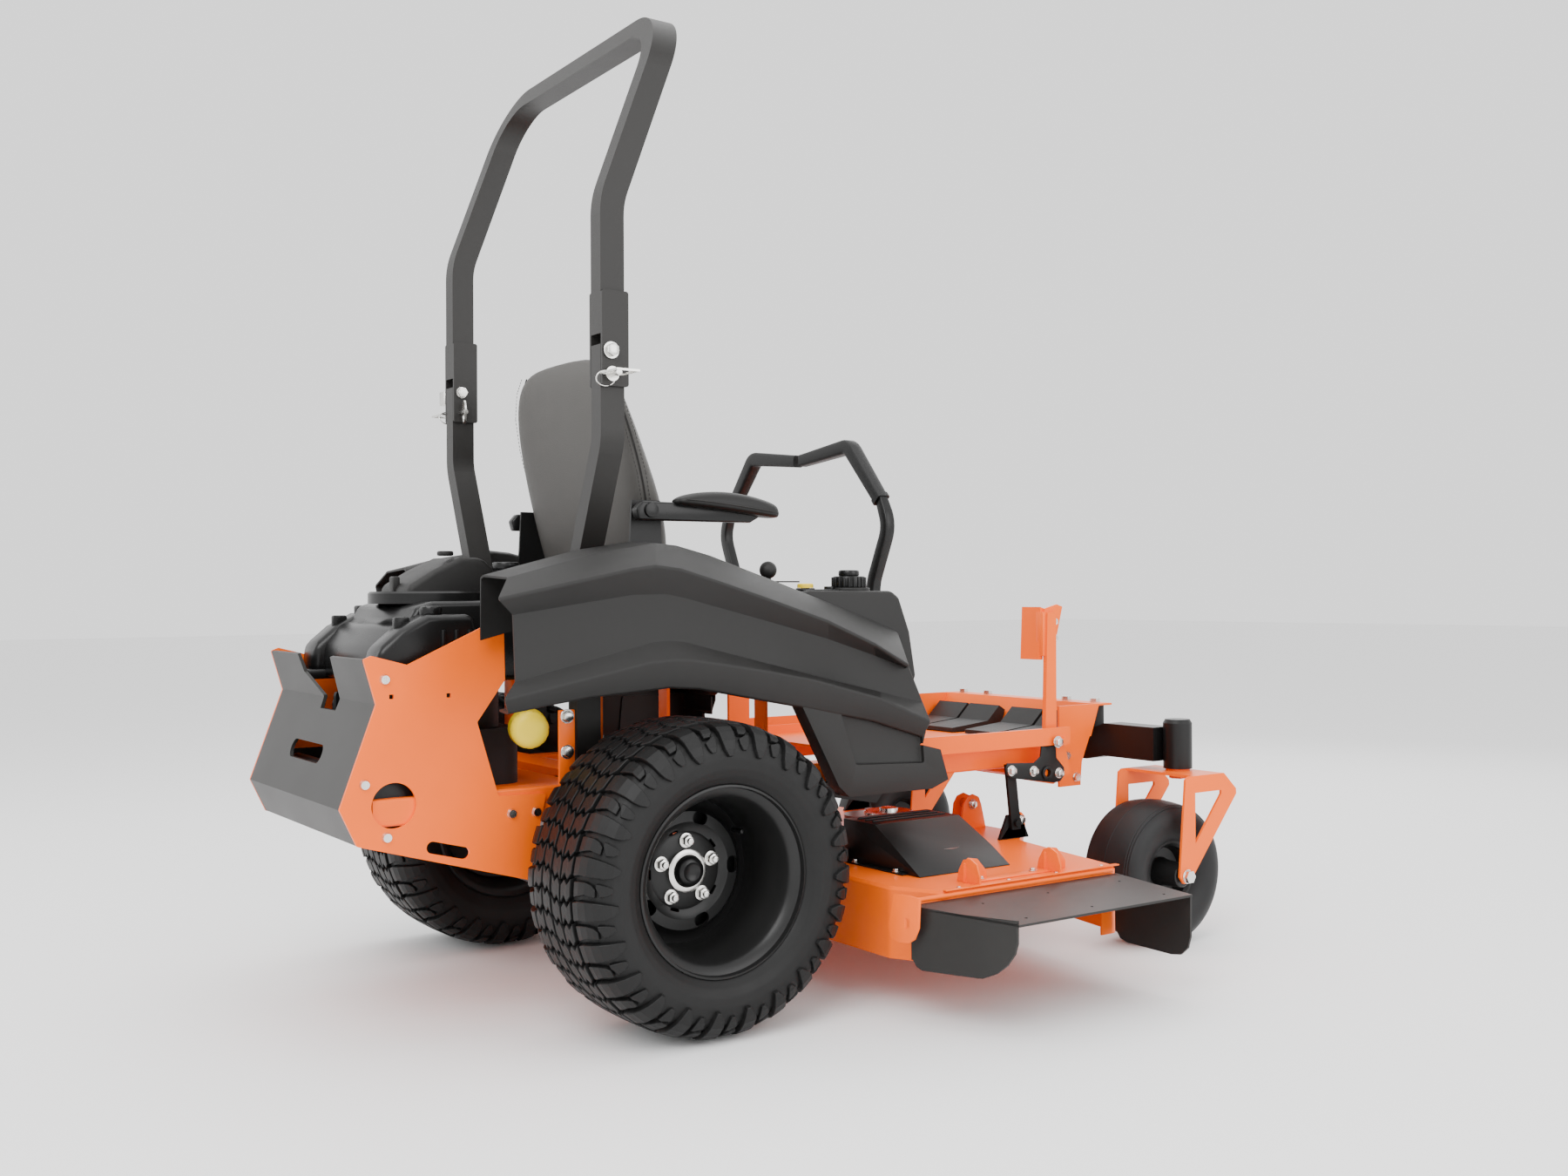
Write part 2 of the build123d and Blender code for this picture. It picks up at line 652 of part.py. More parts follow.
# control levers
for hand, sign in hands:
    with BuildPart() as lever_pivot:
        with BuildSketch(side(sign * 296)):
            with Locations((lever_x, lever_pivot_z)):
                Circle(22)
            Polygon((lever_x - 14, 600), (lever_x + 14, 600), (lever_x + 14, swing_z - 14),
                    (lever_x - 14, swing_z - 14), align=None)
        extrude(amount=sign * 12)
        # clevis ears for the outward swing
        for x in (lever_x - 19.5, lever_x + 13.5):
            with BuildSketch(across(x)):
                with Locations((sign * swing_y, swing_z - 6)):
                    Rectangle(32, 44)
            extrude(amount=6)
        with BuildSketch(level(swing_z - 40)):
            with Locations((lever_x, sign * 284)):
                Rectangle(39, 24)
        extrude(amount=14)
    lever_pivot.part.label = f"{hand}_lever_pivot"
    export_step(lever_pivot.part, f"parts/{hand}_lever_pivot.step")

    with BuildPart() as lever_arm:
        with BuildSketch(across(lever_x - 13)):
            with BuildLine():
                FilletPolyline((sign * swing_y, swing_z - 8), (sign * swing_y, 836), (sign * 338, 962),
                               (sign * 309, 1026), radius=60)
            trace(line_width=26)
        extrude(amount=26)
    lever_arm.part.label = f"{hand}_lever_arm"
    export_step(lever_arm.part, f"parts/{hand}_lever_arm.step")

    with BuildPart() as lever_grip:
        with BuildSketch(across(lever_x - 16)):
            with BuildLine():
                FilletPolyline((sign * 307, 1029), (sign * 200, 1140), (sign * 9, 1128), radius=36)
            trace(line_width=32)
        extrude(amount=32)
    lever_grip.part = lever_grip.part - lever_arm.part
    lever_grip.part.label = f"{hand}_lever_grip"
    export_step(lever_grip.part, f"parts/{hand}_lever_grip.step")

# seat
with BuildPart() as seat_base:
    with BuildSketch(level(platform_z + 14)):
        with Locations((150, 0)):
            RectangleRounded(380, 420, 20)
    extrude(amount=20)
    for y in (-160, 160):
        with BuildSketch(level(platform_z + 0.3)):
            with Locations((140, y)):
                Rectangle(330, 40)
        extrude(amount=14)
    # upright straps that carry the backrest and the armrest pivots
    for sign in (1, -1):
        plate([(-30, platform_z + 14), (60, platform_z + 14), (50, 1004), (-14, 1004)],
              266 if sign > 0 else -260, 6)
        with BuildSketch(level(platform_z + 14)):
            with Locations((15, sign * 232)):
                Rectangle(88, 60)
        extrude(amount=8)
        rod(6, 982, sign * 280, sign * 16, 10)
seat_base.part.label = "seat_base"
export_step(seat_base.part, "parts/seat_base.step")

with BuildPart() as seat_cushion:
    with BuildSketch(level(platform_z + 34.4)):
        with Locations((280, 0)):
            RectangleRounded(352, 480, 60)
    extrude(amount=120)
    fillet(seat_cushion.faces().sort_by(Axis.Z)[-1].edges(), 40)
seat_cushion.part.label = "seat_cushion"
export_step(seat_cushion.part, "parts/seat_cushion.step")

with BuildPart() as seat_back:
    with BuildSketch(side(254)):
        with BuildLine():
            Polyline((24, 800), (-42, 1130), (-66, 1270))
            ThreePointArc((-66, 1270), (-52, 1304), (-10, 1290))
            Polyline((-10, 1290), (10, 1170), (96, 960), (96, 800), (24, 800))
        make_face()
    extrude(amount=508)
    with BuildSketch(across(-200)):
        with BuildLine():
            FilletPolyline((-215, 795), (-254, 1060), (-240, 1190), (-170, 1308), (170, 1308), (240, 1190),
                           (254, 1060), (215, 795), radius=50)
            Line((215, 795), (-215, 795))
        make_face()
    extrude(amount=400, mode=Mode.INTERSECT)
seat_back.part.label = "seat_back"
export_step(seat_back.part, "parts/seat_back.step")

for hand, sign in hands:
    with BuildPart() as armrest:
        with BuildSketch(side(sign * 284)):
            Polygon((-18, 964), (250, 964), (262, 972), (262, 994), (-12, 998), align=None)
        extrude(amount=sign * -24)
        with BuildSketch(side(sign * 272)):
            Polygon((56, 994), (90, 1016), (150, 1024), (250, 1012), (308, 996), (312, 980), (290, 972), (250, 964),
                    (250, 990), align=None)
        extrude(amount=sign * -62)
    armrest.part.label = f"{hand}_armrest"
    export_step(armrest.part, f"parts/{hand}_armrest.step")

# mower deck
deck_outline = [(375, 590), (430, 700), (900, 700), (965, 335), (1050, 250), (1050, -250), (965, -335), (900, -700),
                (430, -700), (375, -590)]
with BuildPart() as deck_shell:
    with BuildSketch(level(deck_bottom)):
        Polygon(*deck_outline, align=None)
    extrude(amount=deck_top - deck_bottom)
    fillet(deck_shell.edges().filter_by(Axis.Z), 24)
    chamfer(deck_shell.faces().sort_by(Axis.Z)[-1].edges(), 6)
    with BuildSketch(level(deck_bottom)):
        Polygon(*deck_outline, align=None)
        offset(amount=-deck_wall, mode=Mode.REPLACE)
    extrude(amount=deck_top - deck_bottom - deck_wall, mode=Mode.SUBTRACT)
    # discharge opening in the right-hand skirt
    with BuildSketch(side(-600)):
        Polygon((470, deck_bottom - 1), (850, deck_bottom - 1), (850, deck_top - 24), (470, deck_top - 24),
                align=None)
    extrude(amount=120, mode=Mode.SUBTRACT)
    for x, y in spindles.values():
        with BuildSketch(level(deck_top)):
            with Locations((x, y)):
                Circle(62)
        extrude(amount=14)
        with BuildSketch(level(deck_bottom)):
            with Locations((x, y)):
                Circle(34)
        extrude(amount=200, mode=Mode.SUBTRACT)
        with BuildSketch(level(deck_top - 40)):
            with Locations((x, y)):
                Circle(48)
                Circle(15 + running_gap, mode=Mode.SUBTRACT)
        extrude(amount=58)
deck_shell.part.label = "deck_shell"
export_step(deck_shell.part, "parts/deck_shell.step")

for name, (x, y) in spindles.items():
    with BuildPart() as blade:
        with BuildSketch(level(150)):
            with Locations((x, y)):
                Rectangle(2 * blade_radius - 8, 62, rotation=35 if name == "centre" else 90)
        extrude(amount=6)
        with BuildSketch(level(142)):
            with Locations((x, y)):
                RegularPolygon(18, 6, major_radius=False)
        extrude(amount=8)
        with BuildSketch(level(156)):
            with Locations((x, y)):
                Circle(30)
        extrude(amount=43)
        with BuildSketch(level(156)):
            with Locations((x, y)):
                Circle(15)
        extrude(amount=deck_top + 52 - 156)
        with BuildSketch(level(deck_top + 19)):
            with Locations((x, y)):
                Circle(66)
        extrude(amount=20)
    blade.part.label = f"{name}_blade"
    export_step(blade.part, f"parts/{name}_blade.step")

cover_wall = 3.0
with BuildPart() as belt_covers:
    for sign in (1, -1):
        with BuildSketch(side(sign * 560)):
            Polygon((500, 240.2), (520, 322), (690, 322), (735, 240.2), (731, 240.2), (687, 318), (523, 318),
                    (504, 240.2), align=None)
        extrude(amount=sign * 250)
        with BuildSketch(side(sign * 560)):
            Polygon((500, 240.2), (520, 322), (690, 322), (735, 240.2), align=None)
        extrude(amount=sign * cover_wall)
belt_covers.part.label = "belt_covers"
export_step(belt_covers.part, "parts/belt_covers.step")

with BuildPart() as deck_hangers:
    for sign in (1, -1):
        for x, z_top in ((966, 399), (rear_lift_x - 117 + 18, 399)):
            base_y = sign * 300
            # welded ear, hanger bar and its two bolts
            plate([(x - 46, deck_top + 0.2), (x + 46, deck_top + 0.2), (x + 20, deck_top + 56), (x - 20, deck_top + 56)],
                  max(base_y, base_y + sign * 8), 8)
            plate([(x - 14, 262), (x + 14, 262), (x - 4, z_top + 16), (x - 32, z_top + 16)],
                  max(base_y + sign * 8.4, base_y + sign * 16.4), 8)
            rod(x, 278, base_y + sign * 24, sign * 32, 9)
            rod(x - 18, z_top, base_y + sign * 22, sign * 6, 9)
deck_hangers.part.label = "deck_hangers"
export_step(deck_hangers.part, "parts/deck_hangers.step")

# the chute is a sloping top plate with a front wall and a rear wall that slants outwards
chute_inner = -706.0
chute_outer = -905.0
chute_rear = [(338, chute_inner), (424, chute_outer), (429, chute_outer), (343, chute_inner)]
with BuildPart() as discharge_chute:
    with BuildSketch(level(106)):
        Polygon(*chute_rear, align=None)
    extrude(amount=120)
    with BuildSketch(across(883)):
        Polygon((-705, 224), (-910, 212), (-908, 112), (-880, 88), (-740, 88), (-708, 110), align=None)
    extrude(amount=5)
    with BuildSketch(across(338)):
        Polygon((-705, 226), (-912, 214), (-912, 209), (-705, 221), align=None)
    extrude(amount=550)
    # whatever lies outside the rear wall or above the top plate goes
    with BuildSketch(level(200)):
        Polygon((330, -700), (335.4, -700), chute_rear[0], chute_rear[1], (424, -920), (330, -920), align=None)
    extrude(amount=40, mode=Mode.SUBTRACT)
    with BuildSketch(across(330)):
        Polygon((-700, 226.3), (-912, 214), (-920, 214), (-920, 240), (-700, 240), align=None)
        Polygon((-910, 165), (-884, 128), (-850, 106), (-850, 86), (-915, 80), (-925, 165), align=None)
    extrude(amount=130, mode=Mode.SUBTRACT)
discharge_chute.part.label = "discharge_chute"
export_step(discharge_chute.part, "parts/discharge_chute.step")

# lift linkage
with BuildPart() as lift_pedal_shaft:
    rod(lift_x, lift_z, 334, 668, 14)
    for sign in (1, -1):
        plate([(936, 412), (936, 386), (1065, 362), (1085, 370), (1122, 386), (1118, 400), (1098, 476), (1066, 476),
               (1050, 410)], 336 if sign > 0 else -328, 8)
    # foot pedal: bar and a slanted pad
    plate([(1046, 380), (1084, 380), (1086, 767), (1058, 767)], -316, 12)
    plate([(1060, 640), (1078, 640), (1096, 700), (1118, 780), (1100, 786), (1060, 776)], -310, 6)
    with BuildSketch(side(-246)):
        Polygon((1046, 655), (1058, 655), (1064, 776), (1052, 780), align=None)
    extrude(amount=64)
lift_pedal_shaft.part.label = "lift_pedal_shaft"
export_step(lift_pedal_shaft.part, "parts/lift_pedal_shaft.step")

with BuildPart() as rear_lift_shaft:
    rod(rear_lift_x, lift_z, 334, 668, 14)
    for sign in (1, -1):
        plate([(rear_lift_x - 130, 412), (rear_lift_x - 130, 386), (rear_lift_x, 362), (rear_lift_x + 20, 385),
               (rear_lift_x + 34, 476), (rear_lift_x, 476)], 336 if sign > 0 else -328, 8)
rear_lift_shaft.part.label = "rear_lift_shaft"
export_step(rear_lift_shaft.part, "parts/rear_lift_shaft.step")

with BuildPart() as lift_link:
    for sign in (1, -1):
        with BuildSketch(across(rear_lift_x)):
            with Locations((sign * 348, 476)):
                Rectangle(10, 40)
        extrude(amount=lift_x + 40 - rear_lift_x)
        for x in (rear_lift_x + 16, lift_x + 16):
            rod(x, 464, sign * 361, sign * 24.6, 10)
lift_link.part.label = "lift_link"
export_step(lift_link.part, "parts/lift_link.step")

# small controls
with BuildPart() as brake_lever:
    with BuildSketch(level(838)):
        with Locations((264, -335)):
            Circle(6)
    extrude(amount=14)
    with Locations(place(264, -335, 864)):
        Sphere(18)
brake_lever.part.label = "brake_lever"
export_step(brake_lever.part, "parts/brake_lever.step")

with BuildPart() as pto_switch:
    with BuildSketch(level(821)):
        with Locations((350, -345)):
            Circle(9)
    extrude(amount=8)
    with BuildSketch(level(827)):
        with Locations((350, -345)):
            Circle(17)
    extrude(amount=9)
    fillet(pto_switch.edges().sort_by(Axis.Z)[-1], 3)
pto_switch.part.label = "pto_switch"
export_step(pto_switch.part, "parts/pto_switch.step")
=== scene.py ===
import bmesh, bpy, json, math
from mathutils import Matrix, Vector


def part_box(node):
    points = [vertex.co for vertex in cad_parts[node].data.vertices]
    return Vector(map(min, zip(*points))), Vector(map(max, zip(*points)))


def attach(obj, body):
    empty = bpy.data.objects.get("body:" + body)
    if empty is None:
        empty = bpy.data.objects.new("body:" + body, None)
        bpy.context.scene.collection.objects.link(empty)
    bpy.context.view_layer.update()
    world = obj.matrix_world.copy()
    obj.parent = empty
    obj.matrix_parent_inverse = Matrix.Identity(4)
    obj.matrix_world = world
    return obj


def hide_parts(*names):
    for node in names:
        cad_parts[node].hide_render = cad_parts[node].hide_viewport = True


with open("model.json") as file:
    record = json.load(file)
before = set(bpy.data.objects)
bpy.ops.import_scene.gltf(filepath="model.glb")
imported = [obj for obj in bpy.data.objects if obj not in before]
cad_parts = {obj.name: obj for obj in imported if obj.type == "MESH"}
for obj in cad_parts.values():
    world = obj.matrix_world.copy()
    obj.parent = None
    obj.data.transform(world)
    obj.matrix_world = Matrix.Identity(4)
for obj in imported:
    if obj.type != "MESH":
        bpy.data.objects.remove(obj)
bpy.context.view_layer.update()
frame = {"nodes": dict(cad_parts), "record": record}
hands = (("left", 1), ("right", -1))

# the rear axle's middle is where the machine is measured from
tyreLow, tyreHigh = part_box("left_drive_tyre")
otherLow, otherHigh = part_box("right_drive_tyre")
axle = Vector(((tyreLow[0] + tyreHigh[0]) / 2, (tyreLow[1] + tyreHigh[1] + otherLow[1] + otherHigh[1]) / 4,
               0))


def at(x, y, z):  # millimetres ahead of the axle, left of the centreline and above the ground
    return Vector((axle.x + x / 1000, axle.y + y / 1000, z / 1000))


def across(y):  # a move of y millimetres to the left
    return at(0, y, 0) - at(0, 0, 0)


def turnAbout(centre, angle, axis):
    return Matrix.Translation(centre) @ Matrix.Rotation(angle, 4, axis) @ Matrix.Translation(-centre)


# working helpers

def nothingSelected():
    if bpy.context.mode != "OBJECT":
        bpy.ops.object.mode_set(mode="OBJECT")
    bpy.ops.object.select_all(action="DESELECT")


def pick(obj):
    nothingSelected()
    obj.select_set(True)
    bpy.context.view_layer.objects.active = obj


def named(name):
    obj = bpy.context.view_layer.objects.active
    obj.name = name
    return obj


def setDown(obj):  # the place goes into the mesh
    pick(obj)
    bpy.ops.object.transform_apply(location=True, rotation=True, scale=True)
    return obj


def addCube(name, low, high):
    nothingSelected()
    middle = (Vector(low) + Vector(high)) / 2
    bpy.ops.mesh.primitive_cube_add(size=1, location=middle)
    obj = named(name)
    obj.scale = Vector(high) - Vector(low)
    return setDown(obj)


def addRound(name, centre, radius, depth, axis="Z", sides=32):
    nothingSelected()
    turn = {"Z": (0, 0, 0), "Y": (math.pi / 2, 0, 0), "X": (0, math.pi / 2, 0)}[axis]
    bpy.ops.mesh.primitive_cylinder_add(vertices=sides, radius=radius, depth=depth, location=centre,
                                        rotation=turn)
    return setDown(named(name))


def editAll():  # into edit mode with everything selected
    bpy.ops.object.mode_set(mode="EDIT")
    bpy.ops.mesh.select_all(action="SELECT")


def faceOutwards():  # every face is turned outwards, and edit mode is left
    bpy.ops.mesh.select_all(action="SELECT")
    bpy.ops.mesh.normals_make_consistent(inside=False)
    bpy.ops.object.mode_set(mode="OBJECT")


def drawLine(name, points, closed=False):  # one vertex, extruded from point to point
    nothingSelected()
    bpy.ops.mesh.primitive_plane_add(size=0.001, location=points[0])
    obj = setDown(named(name))
    editAll()
    bpy.ops.mesh.merge(type="CENTER")
    for here, there in zip(points, points[1:]):
        move = Vector(there) - Vector(here)
        bpy.ops.mesh.extrude_vertices_move(TRANSFORM_OT_translate={"value": move})
    if closed:
        bpy.ops.mesh.select_all(action="SELECT")
        bpy.ops.mesh.edge_face_add()
    bpy.ops.object.mode_set(mode="OBJECT")
    return obj


def pushOut(obj, move):  # extrudes the whole drawing
    pick(obj)
    editAll()
    bpy.ops.mesh.extrude_region_move(TRANSFORM_OT_translate={"value": move})
    faceOutwards()
    return obj


def slab(name, points, move):  # a flat outline given a thickness
    return pushOut(drawLine(name, points, closed=True), move)


def spun(name, points, centre, axis, steps=96):
    obj = drawLine(name, points)
    editAll()
    bpy.ops.mesh.spin(steps=steps, angle=2 * math.pi, center=centre, axis=axis)
    bpy.ops.mesh.select_all(action="SELECT")
    bpy.ops.mesh.remove_doubles(threshold=0.00002)
    faceOutwards()
    return obj


def gridOf(name, rows):  # a grid whose rows are moved onto the given points
    down, along = len(rows), len(rows[0])
    nothingSelected()
    bpy.ops.mesh.primitive_grid_add(x_subdivisions=along - 1, y_subdivisions=down - 1, size=2)
    obj = named(name)
    bpy.ops.object.mode_set(mode="EDIT")
    mesh = bmesh.from_edit_mesh(obj.data)
    for v in mesh.verts:
        i = round((v.co.x + 1) / 2 * (along - 1))
        j = round((v.co.y + 1) / 2 * (down - 1))
        v.co = rows[j][i]
    bmesh.update_edit_mesh(obj.data)
    bpy.ops.object.mode_set(mode="OBJECT")
    return obj


def apply(obj, kind, **settings):
    pick(obj)
    modifier = obj.modifiers.new(kind.title(), kind)
    for key, value in settings.items():
        setattr(modifier, key, value)
    bpy.ops.object.modifier_apply(modifier=modifier.name)
    return obj


def bevelled(obj, width, segments=2, angle=30):
    return apply(obj, "BEVEL", width=width, segments=segments, limit_method="ANGLE",
                 angle_limit=math.radians(angle), harden_normals=False)


def carved(obj, tool):  # cuts tool out of obj and throws the tool away
    apply(obj, "BOOLEAN", operation="DIFFERENCE", object=tool, solver="EXACT")
    bpy.data.objects.remove(tool, do_unlink=True)
    return obj


def joined(name, pieces):
    nothingSelected()
    for piece in pieces:
        piece.select_set(True)
    bpy.context.view_layer.objects.active = pieces[0]
    if len(pieces) > 1:
        bpy.ops.object.join()
    return named(name)


def smooth(obj, angle=35):
    pick(obj)
    bpy.ops.object.shade_smooth_by_angle(angle=math.radians(angle))
    return obj


def mirrored(name, obj):  # a copy on the other side of the machine's centreline
    pick(obj)
    bpy.ops.object.duplicate()
    copy = named(name)
    editAll()
    bpy.ops.transform.resize(value=(1, -1, 1), center_override=axle)
    bpy.ops.mesh.flip_normals()
    bpy.ops.object.mode_set(mode="OBJECT")
    return copy


def finished(obj, material, body, nodes=()):
    obj.data.materials.clear()
    obj.data.materials.append(material)
    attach(obj, body)
    if nodes:
        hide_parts(*nodes)
    return obj


# materials

def surface(name, slotName, base, rough, **extra):
    settings = {"tint": 0.12, "tintScale": 6, "grain": 0.1, "grainScale": 900, "roughSpread": 0.08,
                "metal": 0.0, "coat": 0.0, "spots": 0.0, "specular": 0.28}
    settings.update(extra)
    material = bpy.data.materials.new(name)
    material["slotName"] = slotName
    material.use_nodes = True
    nodes, links = material.node_tree.nodes, material.node_tree.links
    shader = nodes["Principled BSDF"]
    shader.inputs["Metallic"].default_value = settings["metal"]
    shader.inputs["Coat Weight"].default_value = settings["coat"]
    shader.inputs["Coat Roughness"].default_value = 0.12
    shader.inputs["Specular IOR Level"].default_value = settings["specular"]
    place = nodes.new("ShaderNodeTexCoord")
    cloud = nodes.new("ShaderNodeTexNoise")
    cloud.inputs["Scale"].default_value = settings["tintScale"]
    cloud.inputs["Detail"].default_value = 6
    links.new(place.outputs["Object"], cloud.inputs["Vector"])
    ramp = nodes.new("ShaderNodeValToRGB")
    ramp.color_ramp.elements[0].position = 0.3
    ramp.color_ramp.elements[1].position = 0.75
    dark = [c * (1 - settings["tint"]) for c in base]
    light = [min(1, c * (1 + settings["tint"])) for c in base]
    ramp.color_ramp.elements[0].color = (*dark, 1)
    ramp.color_ramp.elements[1].color = (*light, 1)
    links.new(cloud.outputs["Fac"], ramp.inputs["Fac"])
    links.new(ramp.outputs["Color"], shader.inputs["Base Color"])
    spread = nodes.new("ShaderNodeMapRange")
    spread.inputs["To Min"].default_value = rough - settings["roughSpread"]
    spread.inputs["To Max"].default_value = rough + settings["roughSpread"]
    links.new(cloud.outputs["Fac"], spread.inputs["Value"])
    links.new(spread.outputs["Result"], shader.inputs["Roughness"])
    grain = nodes.new("ShaderNodeTexNoise")
    grain.inputs["Scale"].default_value = settings["grainScale"]
    grain.inputs["Detail"].default_value = 3
    links.new(place.outputs["Object"], grain.inputs["Vector"])
    bump = nodes.new("ShaderNodeBump")
    bump.inputs["Strength"].default_value = settings["grain"]
    bump.inputs["Distance"].default_value = 0.0006
    links.new(grain.outputs["Fac"], bump.inputs["Height"])
    links.new(bump.outputs["Normal"], shader.inputs["Normal"])
    return material


orange = surface("orangePaint", "orange_paint", (0.95, 0.135, 0.0), 0.36, tint=0.04, grain=0.05, coat=0.06,
                 specular=0.2)
darkPaint = surface("rollBarPaint", "dark_paint", (0.017, 0.016, 0.015), 0.42, grain=0.35, grainScale=1400,
                    tint=0.15)
blackPaint = surface("blackPaint", "black_paint", (0.006, 0.006, 0.006), 0.38, grain=0.2, tint=0.15)
rimPaint = surface("rimPaint", "rim_paint", (0.010, 0.010, 0.010), 0.36, grain=0.12, tint=0.12)
plastic = surface("mouldedPlastic", "black_plastic", (0.012, 0.0115, 0.011), 0.48, grain=0.55,
                  grainScale=1600, tint=0.1, tintScale=14)
shinyPlastic = surface("glossyPlastic", "black_plastic", (0.006, 0.006, 0.006), 0.28, grain=0.08, tint=0.1)
gripPlastic = surface("gripRubber", "grip_plastic", (0.008, 0.008, 0.008), 0.5, grain=0.4)
rubber = surface("tyreRubber", "tyre_rubber", (0.0085, 0.0085, 0.009), 0.52, grain=0.25, grainScale=1100,
                 tint=0.2, tintScale=24)
mountRubber = surface("mountRubber", "mount_rubber", (0.02, 0.02, 0.02), 0.7)
zinc = surface("zincPlate", "zinc", (0.72, 0.71, 0.68), 0.24, metal=1.0, tint=0.08, tintScale=60)
castAlloy = surface("castAlloy", "engine_alloy", (0.035, 0.035, 0.036), 0.6, grain=0.6, grainScale=500,
                    metal=0.3)
driveAlloy = surface("driveAlloy", "drive_alloy", (0.16, 0.16, 0.16), 0.5, grain=0.5, grainScale=500,
                     metal=0.6)
filterPaint = surface("filterPaint", "filter_paint", (0.82, 0.60, 0.02), 0.35, tint=0.06, grain=0.05)
yellowPlastic = surface("yellowPlastic", "yellow_plastic", (0.85, 0.6, 0.02), 0.4, tint=0.04)
bladeSteel = surface("bladeSteel", "blade_steel", (0.2, 0.2, 0.2), 0.35, metal=0.9, grain=0.2)
leather = surface("seatLeather", "seat_leather", (0.062, 0.059, 0.055), 0.50, grain=0.8, grainScale=520,
                  tint=0.08, tintScale=18)
leatherBlack = surface("armLeather", "black_plastic", (0.008, 0.0078, 0.0075), 0.45, grain=0.5,
                       grainScale=600)
bySlot = {m["slotName"]: m for m in (orange, darkPaint, blackPaint, rimPaint, plastic, gripPlastic, rubber,
                                     mountRubber, zinc, castAlloy, driveAlloy, filterPaint, yellowPlastic,
                                     bladeSteel, leather)}
for part in frame["record"]["subparts"]:  # each carried-over part gets the finish of its slot
    node = frame["nodes"][part["node"]]
    for slot in node.material_slots:
        slot.material = bySlot[part["material_slot"]]
print("materials made")

# camera, lights and floor
camera = {"place": at(-1464.5, -2961.7, 816.8), "yaw": 54.57, "pitch": 0.464, "roll": -0.33,
          "lens": 35.05, "sensor": 36, "shift": (-0.0253, -0.0049)}
cameraData = bpy.data.cameras.new("camera")
cameraData.lens = camera["lens"]
cameraData.sensor_width = camera["sensor"]
cameraData.shift_x, cameraData.shift_y = camera["shift"]
eye = bpy.data.objects.new("camera", cameraData)
bpy.context.scene.collection.objects.link(eye)
turned = (Matrix.Rotation(math.radians(camera["yaw"] - 90), 4, "Z")
          @ Matrix.Rotation(math.radians(90 + camera["pitch"]), 4, "X")
          @ Matrix.Rotation(math.radians(camera["roll"]), 4, "Z"))
eye.matrix_world = Matrix.Translation(camera["place"]) @ turned
bpy.context.scene.camera = eye

lights = {  # place, size, power
    "keyLight": (at(-2600, -2600, 3600), 2.6, 150), "sideLight": (at(1800, -4200, 2200), 3.0, 90),
    "frontLight": (at(4200, 1800, 3000), 3.0, 70), "topLight": (at(0, 0, 4600), 4.0, 90),
    "backLight": (at(-3800, 2600, 2600), 2.6, 60)}
lightAim = at(300, 0, 600)
for name, (place, size, power) in lights.items():
    nothingSelected()
    bpy.ops.object.light_add(type="AREA", location=place)
    lamp = bpy.context.object
    lamp.name = name
    lamp.data.energy = power
    lamp.data.size = size
    lamp.rotation_euler = (lightAim - place).to_track_quat("-Z", "Y").to_euler()

studio = {"skyStrength": 1.5, "floorSize": 60, "floorLevel": -0.0006, "floorTone": 0.9, "floorRough": 0.9}
world = bpy.data.worlds.new("studio")
bpy.context.scene.world = world
world.use_nodes = True
sky = world.node_tree.nodes["Background"]
sky.inputs["Color"].default_value = (1, 1, 1, 1)
sky.inputs["Strength"].default_value = studio["skyStrength"]

nothingSelected()
bpy.ops.mesh.primitive_plane_add(size=studio["floorSize"], location=(0, 0, studio["floorLevel"]))
floor = setDown(named("floor"))
floorMaterial = bpy.data.materials.new("paleFloor")
floorMaterial.use_nodes = True
floorShader = floorMaterial.node_tree.nodes["Principled BSDF"]
floorShader.inputs["Base Color"].default_value = (*[studio["floorTone"]] * 3, 1)
floorShader.inputs["Roughness"].default_value = studio["floorRough"]
floor.data.materials.append(floorMaterial)
print("camera, lights and floor placed")

# drive tyres: carcass, centre blocks and long and short shoulder lugs
driveTyre = {"pitches": 23, "tread": 0.0108, "groove": 0.0062, "radius": 0.292, "lean": 0.017,
             "stagger": 0.013, "carcass": ((0, .2812), (.060, .2802), (.095, .2772), (.111, .2722),
                                           (.124, .2630), (.1325, .2520), (.1365, .2390), (.1380, .2240),
                                           (.1360, .2060), (.1300, .1920), (.1210, .1800), (.1140, .1735))}


def alongCarcass(distance):  # place and outward direction on the half section, measured from the crown
    points = [Vector((abs(y), r)) for y, r in driveTyre["carcass"]]
    left = distance
    for here, there in zip(points, points[1:]):
        length = (there - here).length
        if left <= length or there is points[-1]:
            run = (there - here) / length
            return here + run * left, Vector((-run.y, run.x)).normalized()
        left -= length


def blendedCarcass(distance):  # the same, with the direction softened so that blocks lean smoothly
    place = alongCarcass(distance)[0]
    lean = Vector((0, 0))
    for step in range(-4, 5):
        lean += alongCarcass(max(0.0001, distance + step * 0.004))[1]
    return place, lean.normalized()


def treadBlock(name, rows, height):  # rows of (distance from the crown, first edge, last edge) round the tyre
    span = [[Vector((a + (b - a) * k / 2, s, 0)) for k in range(3)] for s, a, b in rows]
    block = gridOf(name, span)
    editAll()
    bpy.ops.mesh.extrude_region_move(TRANSFORM_OT_translate={"value": (0, 0, height)})
    bpy.ops.transform.resize(value=(0.9, 0.955, 1))
    faceOutwards()
    return bevelled(block, 0.0010, 1, 40)


